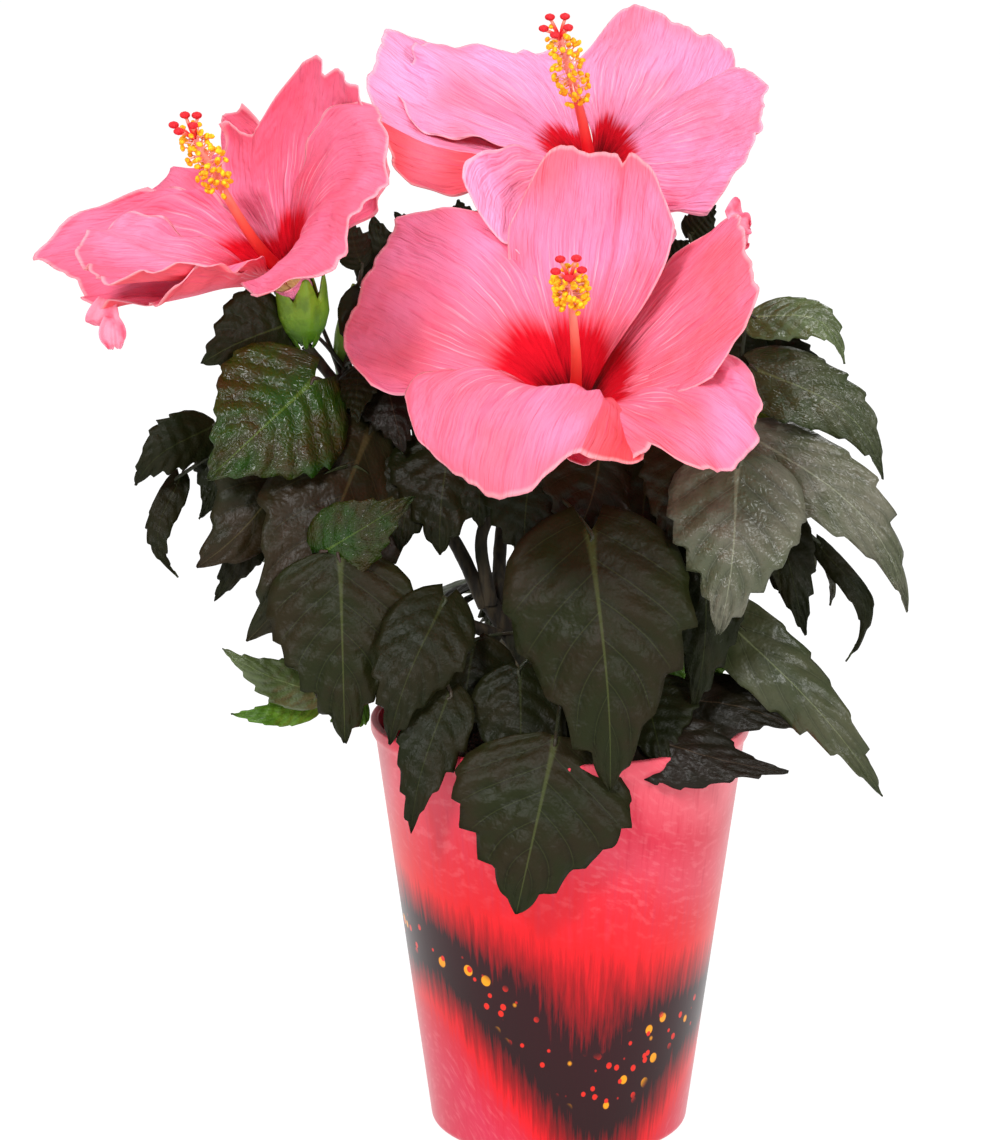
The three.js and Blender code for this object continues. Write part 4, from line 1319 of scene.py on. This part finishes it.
# %% Inner leaves
WINDOW_X = (-60, -18)
WINDOW_Z = (160, 222)
WINDOW_TILT = 0.22
INNER_LEAVES = 5
INNER_TRIES = 60
INNER_RADIUS = 92
INNER_LOWEST = 152
INNER_FRONT = -24


def in_window(point):
    """True where a leaf would close the gap beside the stem."""
    height = point[2] + WINDOW_TILT * point[1]
    return WINDOW_X[0] < point[0] < WINDOW_X[1] and WINDOW_Z[0] < height < WINDOW_Z[1]


def inner_leaves(tuft, outer, luck):
    """Small leaves between a mass's tuft and its large leaves."""
    ends = np.array([leaf[0] for leaf in outer])
    found = []
    for _ in range(INNER_TRIES):
        if len(found) == INNER_LEAVES:
            break
        base = tuft + luck.uniform(0.3, 0.9) * (ends[luck.integers(len(ends))] - tuft)
        base = base + luck.normal(size=3) * 5
        heading = math.degrees(math.atan2(*(base - tuft)[[1, 0]])) + luck.uniform(-60, 60)
        length = luck.uniform(24, 40)
        tip = hung(base, heading, luck.uniform(25, 65), length)
        inside = math.hypot(tip[0], tip[1]) < INNER_RADIUS and tip[2] > INNER_LOWEST
        behind = min(base[1], tip[1]) > INNER_FRONT
        if inside and behind and not any(in_window(p) for p in (base, tip, (base + tip) / 2)):
            roll = luck.uniform(-20, 20)
            found.append((base, tip, length * 0.6, roll, 0, 20, up_and_out(heading), "dark"))
    return found


print("the window beside the stem is", WINDOW_Z[1] - WINDOW_Z[0], "mm high")

# %% Sprays
TWIG_POINTS = 24
TWIG_RADII = [2.0, 1.6, 1.1]
TUFT_DISTANCE = 2.8
STALK_RADII = [0.9, 0.7, 0.7, 0.45]
LEAF_THICKNESS = 0.4
PUCKERED = ("gloss", "grey", "slick")


def spray_root(limb_name, at, heading):
    """Where a spray leaves its bough, and the tuft just outside the bark."""
    points, (first, _) = LIMBS[limb_name]
    root = smooth_path(points, 101)[int(at * 100)]
    angle = math.radians(heading)
    return root, root + (first + TUFT_DISTANCE) * unit([math.cos(angle), math.sin(angle), 0.2])


for number, (name, (limb_name, at, heading, leaves)) in enumerate(masses.items()):
    luck = np.random.default_rng(700 + number)
    root, tuft = spray_root(limb_name, at, heading)
    grown = leaves + inner_leaves(tuft, leaves, luck)
    bases = np.array([leaf[0] for leaf in grown])
    twig = smooth_path([root, tuft, tuft + 0.45 * (bases.mean(axis=0) - tuft)], TWIG_POINTS)
    stalks = Bundle()
    stalks.sheet(tube(twig, TWIG_RADII, 10, bark_relief(number + 40, 30, 0.5)), tube=True)
    blades = Bundle()
    for base, *shape, tint in grown:
        start = twig[luck.integers(8, TWIG_POINTS)]
        arch = (start + base) / 2 + [0, 0, 0.1 * np.linalg.norm(base - start)]
        glossy = tint == "gloss"
        grid = blade(
            base, *shape, luck,
            bend=luck.uniform(30, 46),
            pucker=1.6 if tint in PUCKERED else luck.uniform(0.9, 1.4),
            teeth=0.55 if glossy else 1.0,
            heart=1.0 if glossy else luck.uniform(0.3, 0.8),
        )
        blades.sheet(grid, TINT_ORDER.index(tint))
        inside = base + 3 * unit(grid[6, LEAF_COLUMNS // 2] - base)
        stalk = smooth_path([start, arch, base, inside - [0, 0, 0.6]], 14)
        stalks.sheet(tube(stalk, STALK_RADII, 8), tube=True)
    finishes = leaf_tints + [leaf_under] * len(TINT_ORDER)
    piece = blades.piece(f"leaves_{name}", finishes)
    thicken(piece, LEAF_THICKNESS, len(TINT_ORDER))
    keep(piece, "foliage", name)
    keep(stalks.piece(f"stalks_{name}", [stalk_finish]), "foliage", name)

# %% [markdown]
# ## Pot
#
# The pot is a thin tapered tub with a small rolled lip. It is turned from one outline, like a vase on
# a wheel: the outline is drawn as a chain of edges and spun round the upright axis.

# %% Pot shape
POT_HEIGHT = 147
POT_RIM = 65
POT_FOOT = 45
POT_WALL = 1.8
POT_BASE = 2.6
LIP_OUT = POT_RIM + 0.9
LIP_FOOT = 143.2
UNDER_LIP = 140
INSIDE_LIP = 141
# Corners of the outline that are rounded, from the last to the first: radius and number of points.
POT_ROUNDING = {5: (0.8, 5), 4: (0.9, 5), 3: (1.2, 5), 1: (3.0, 8)}


def pot_radius(z):
    """The outer radius of the tapered wall at a height."""
    return POT_FOOT + (POT_RIM - POT_FOOT) * z / POT_HEIGHT


def turned(name, outline, steps=160):
    """Spins an outline of (radius, height) pairs round the upright axis into a closed piece."""
    bpy.ops.object.select_all(action="DESELECT")
    mesh = bpy.data.meshes.new(name)
    edges = [(i, i + 1) for i in range(len(outline) - 1)]
    mesh.from_pydata([(r * MM, 0, z * MM) for r, z in outline], edges, [])
    made = bpy.data.objects.new(name, mesh)
    bpy.context.scene.collection.objects.link(made)
    use_only(made)
    bpy.ops.object.mode_set(mode="EDIT")
    bpy.ops.mesh.select_all(action="SELECT")
    bpy.ops.mesh.spin(steps=steps, angle=2 * math.pi, center=(0, 0, 0), axis=(0, 0, 1))
    bpy.ops.mesh.select_all(action="SELECT")
    bpy.ops.mesh.remove_doubles(threshold=1e-5)
    bpy.ops.mesh.normals_make_consistent(inside=False)
    bpy.ops.object.mode_set(mode="OBJECT")
    bpy.ops.object.shade_smooth_by_angle(angle=math.radians(40))
    return made


def rounded(points, corner, radius, steps):
    """Replaces one corner of an outline by a small arc."""
    before, at, after = (np.array(p, float) for p in points[corner - 1 : corner + 2])
    start = at + radius * unit(before - at)
    end = at + radius * unit(after - at)
    arc = []
    for share in np.linspace(0, 1, steps):
        arc.append(tuple((1 - share) ** 2 * start + 2 * share * (1 - share) * at + share**2 * end))
    return points[:corner] + arc + points[corner + 1 :]


outline = [
    (0, 0),
    (POT_FOOT - 0.2, 0),
    (pot_radius(UNDER_LIP), UNDER_LIP),
    (LIP_OUT, LIP_FOOT),
    (LIP_OUT, POT_HEIGHT),
    (POT_RIM - POT_WALL, POT_HEIGHT),
    (pot_radius(INSIDE_LIP) - POT_WALL, INSIDE_LIP),
    (pot_radius(POT_BASE) - POT_WALL, POT_BASE),
    (0, POT_BASE),
]
for corner, (radius, steps) in POT_ROUNDING.items():
    outline = rounded(outline, corner, radius, steps)
pot = turned("pot_printed", outline)
print("pot outline:", len(outline), "corners")

# %% [markdown]
# ## The pot's print
#
# The pot is printed all over with broad flowing ribbons of pink, coral, red and deep maroon, with a
# scatter of small orange dots along the dark ribbon. The ribbons are levels of height, bent by slow
# waves round the pot, as contour lines are levels of a hill.

# %% Pot finish
RIBBON_STOPS = [
    (0.0, tone(214, 48, 78)),
    (0.12, tone(214, 30, 54)),
    (0.17, tone(226, 14, 28)),
    (0.23, tone(150, 6, 16)),
    (0.29, tone(40, 8, 12)),
    (0.44, tone(46, 6, 14)),
    (0.50, tone(170, 6, 18)),
    (0.56, tone(232, 16, 28)),
    (0.66, tone(224, 34, 52)),
    (0.78, tone(222, 62, 84)),
    (0.90, tone(214, 42, 68)),
    (1.0, tone(230, 86, 102)),
]
DOTS = ((2.2, 0.0, tone(250, 160, 20)), (3.6, 5.0, tone(226, 40, 26)))

print_finish = Finish("pot_print", Roughness=0.28, Specular_IOR_Level=0.25)
pot_place = print_finish.object_place()
pot_x = print_finish.along(pot_place, "X")
pot_y = print_finish.along(pot_place, "Y")
pot_z = print_finish.along(pot_place, "Z") / (POT_HEIGHT * MM)
turn_angle = print_finish.node("ShaderNodeMath", {"operation": "ARCTAN2"}, {0: pot_x, 1: pot_y * -1})
wave = (turn_angle * 2 + 0.5).sine() * 0.13 + (turn_angle * 3 + pot_z * 4 + 1.2).sine() * 0.06
swirl = print_finish.noise(pot_place, 9, 2, 0.5)
strokes = print_finish.noise(print_finish.join(turn_angle * 9, pot_z * 1.6), 3.4, 4, 0.65)
level = pot_z + wave + (swirl - 0.5) * 0.4
feathered = level + (strokes - 0.5) * 0.17
ribbons = print_finish.node("ShaderNodeValToRGB", {"stops": RIBBON_STOPS}, {0: feathered})
brushed = print_finish.noise(print_finish.join(turn_angle * 4, level * 20), 3, 3)
pink = level.over(0.54, 0.7) + (1 - level.over(0.06, 0.16))
ribbons = print_finish.blend(brushed.over(0.48, 0.7) * pink * 0.16, ribbons, tone(250, 150, 158))
ribbons = print_finish.blend(strokes.over(0.52, 0.7) * pink * 0.35, ribbons, tone(206, 24, 58))
band = level.over(0.31, 0.34) * (1 - level.over(0.40, 0.43))
for size, shift, colour in DOTS:
    dots = print_finish.cells(print_finish.join(turn_angle * 3.1 + shift, pot_z * 7.6), size)
    ribbons = print_finish.blend((1 - dots.over(0.2, 0.25)) * band, ribbons, colour)
print_finish.set(Base_Color=ribbons)
pot.data.materials.append(print_finish.material)
keep(pot, "pot", "pot")

# %% [markdown]
# ## Compost
#
# The pot is filled with dark peat. Its surface is a disc with a rough crust, and loose crumbs lie
# on it.

# %% Compost
soil = Finish("compost_peat", Roughness=0.95)
soil_place = soil.object_place()
clumps = soil.noise(soil_place, 260, 5, 0.65)
soil.set(Base_Color=soil.blend(clumps.over(0.38, 0.66), tone(24, 16, 11), tone(66, 46, 32)))
soil.raised(clumps, 0.002)

SOIL_TOP = 134
SOIL_FOOT = 4
SOIL_SHARES = [0, 0.04, 0.3, 1]
CRUMBS = 520

peat = Bundle()
luck = np.random.default_rng(5)
angle, share = np.meshgrid(-np.linspace(0, 2 * math.pi, 90, endpoint=False), np.linspace(0, 1, 46))
foot_radius = pot_radius(6) - 3
top_radius = pot_radius(SOIL_TOP) - 2.6
profile_r = np.interp(share, SOIL_SHARES, [foot_radius * 0.1, foot_radius, top_radius, 0.2])
profile_z = np.interp(share, SOIL_SHARES, [SOIL_FOOT, SOIL_FOOT, SOIL_TOP - 2, SOIL_TOP - 0.4])
rough = np.sin(7 * angle + 9 * share) * np.sin(38 * share + 3 * angle)
rough = rough + 0.6 * luck.normal(size=angle.shape)
profile_z = profile_z + np.where(share > 0.32, np.clip(0.55 * rough, -1.6, 1.5), 0)
peat.sheet(np.stack([profile_r * np.cos(angle), profile_r * np.sin(angle), profile_z], -1), tube=True)
for _ in range(CRUMBS):
    far = (pot_radius(SOIL_TOP) - 5) * math.sqrt(luck.uniform(0.01, 1))
    turn = luck.uniform(0, 2 * math.pi)
    size = luck.uniform(0.5, 1.9)
    middle = (far * math.cos(turn), far * math.sin(turn), SOIL_TOP + 0.1 * size)
    peat.sheet(blob(middle, size * luck.uniform(0.6, 1.2, 3), rows=4, columns=5), tube=True)
keep(peat.piece("compost_crust", [soil]), "compost", "compost")

# %% [markdown]
# ## The end
#
# At the end, no piece is left selected.

# %% Finish
bpy.ops.object.select_all(action="DESELECT")
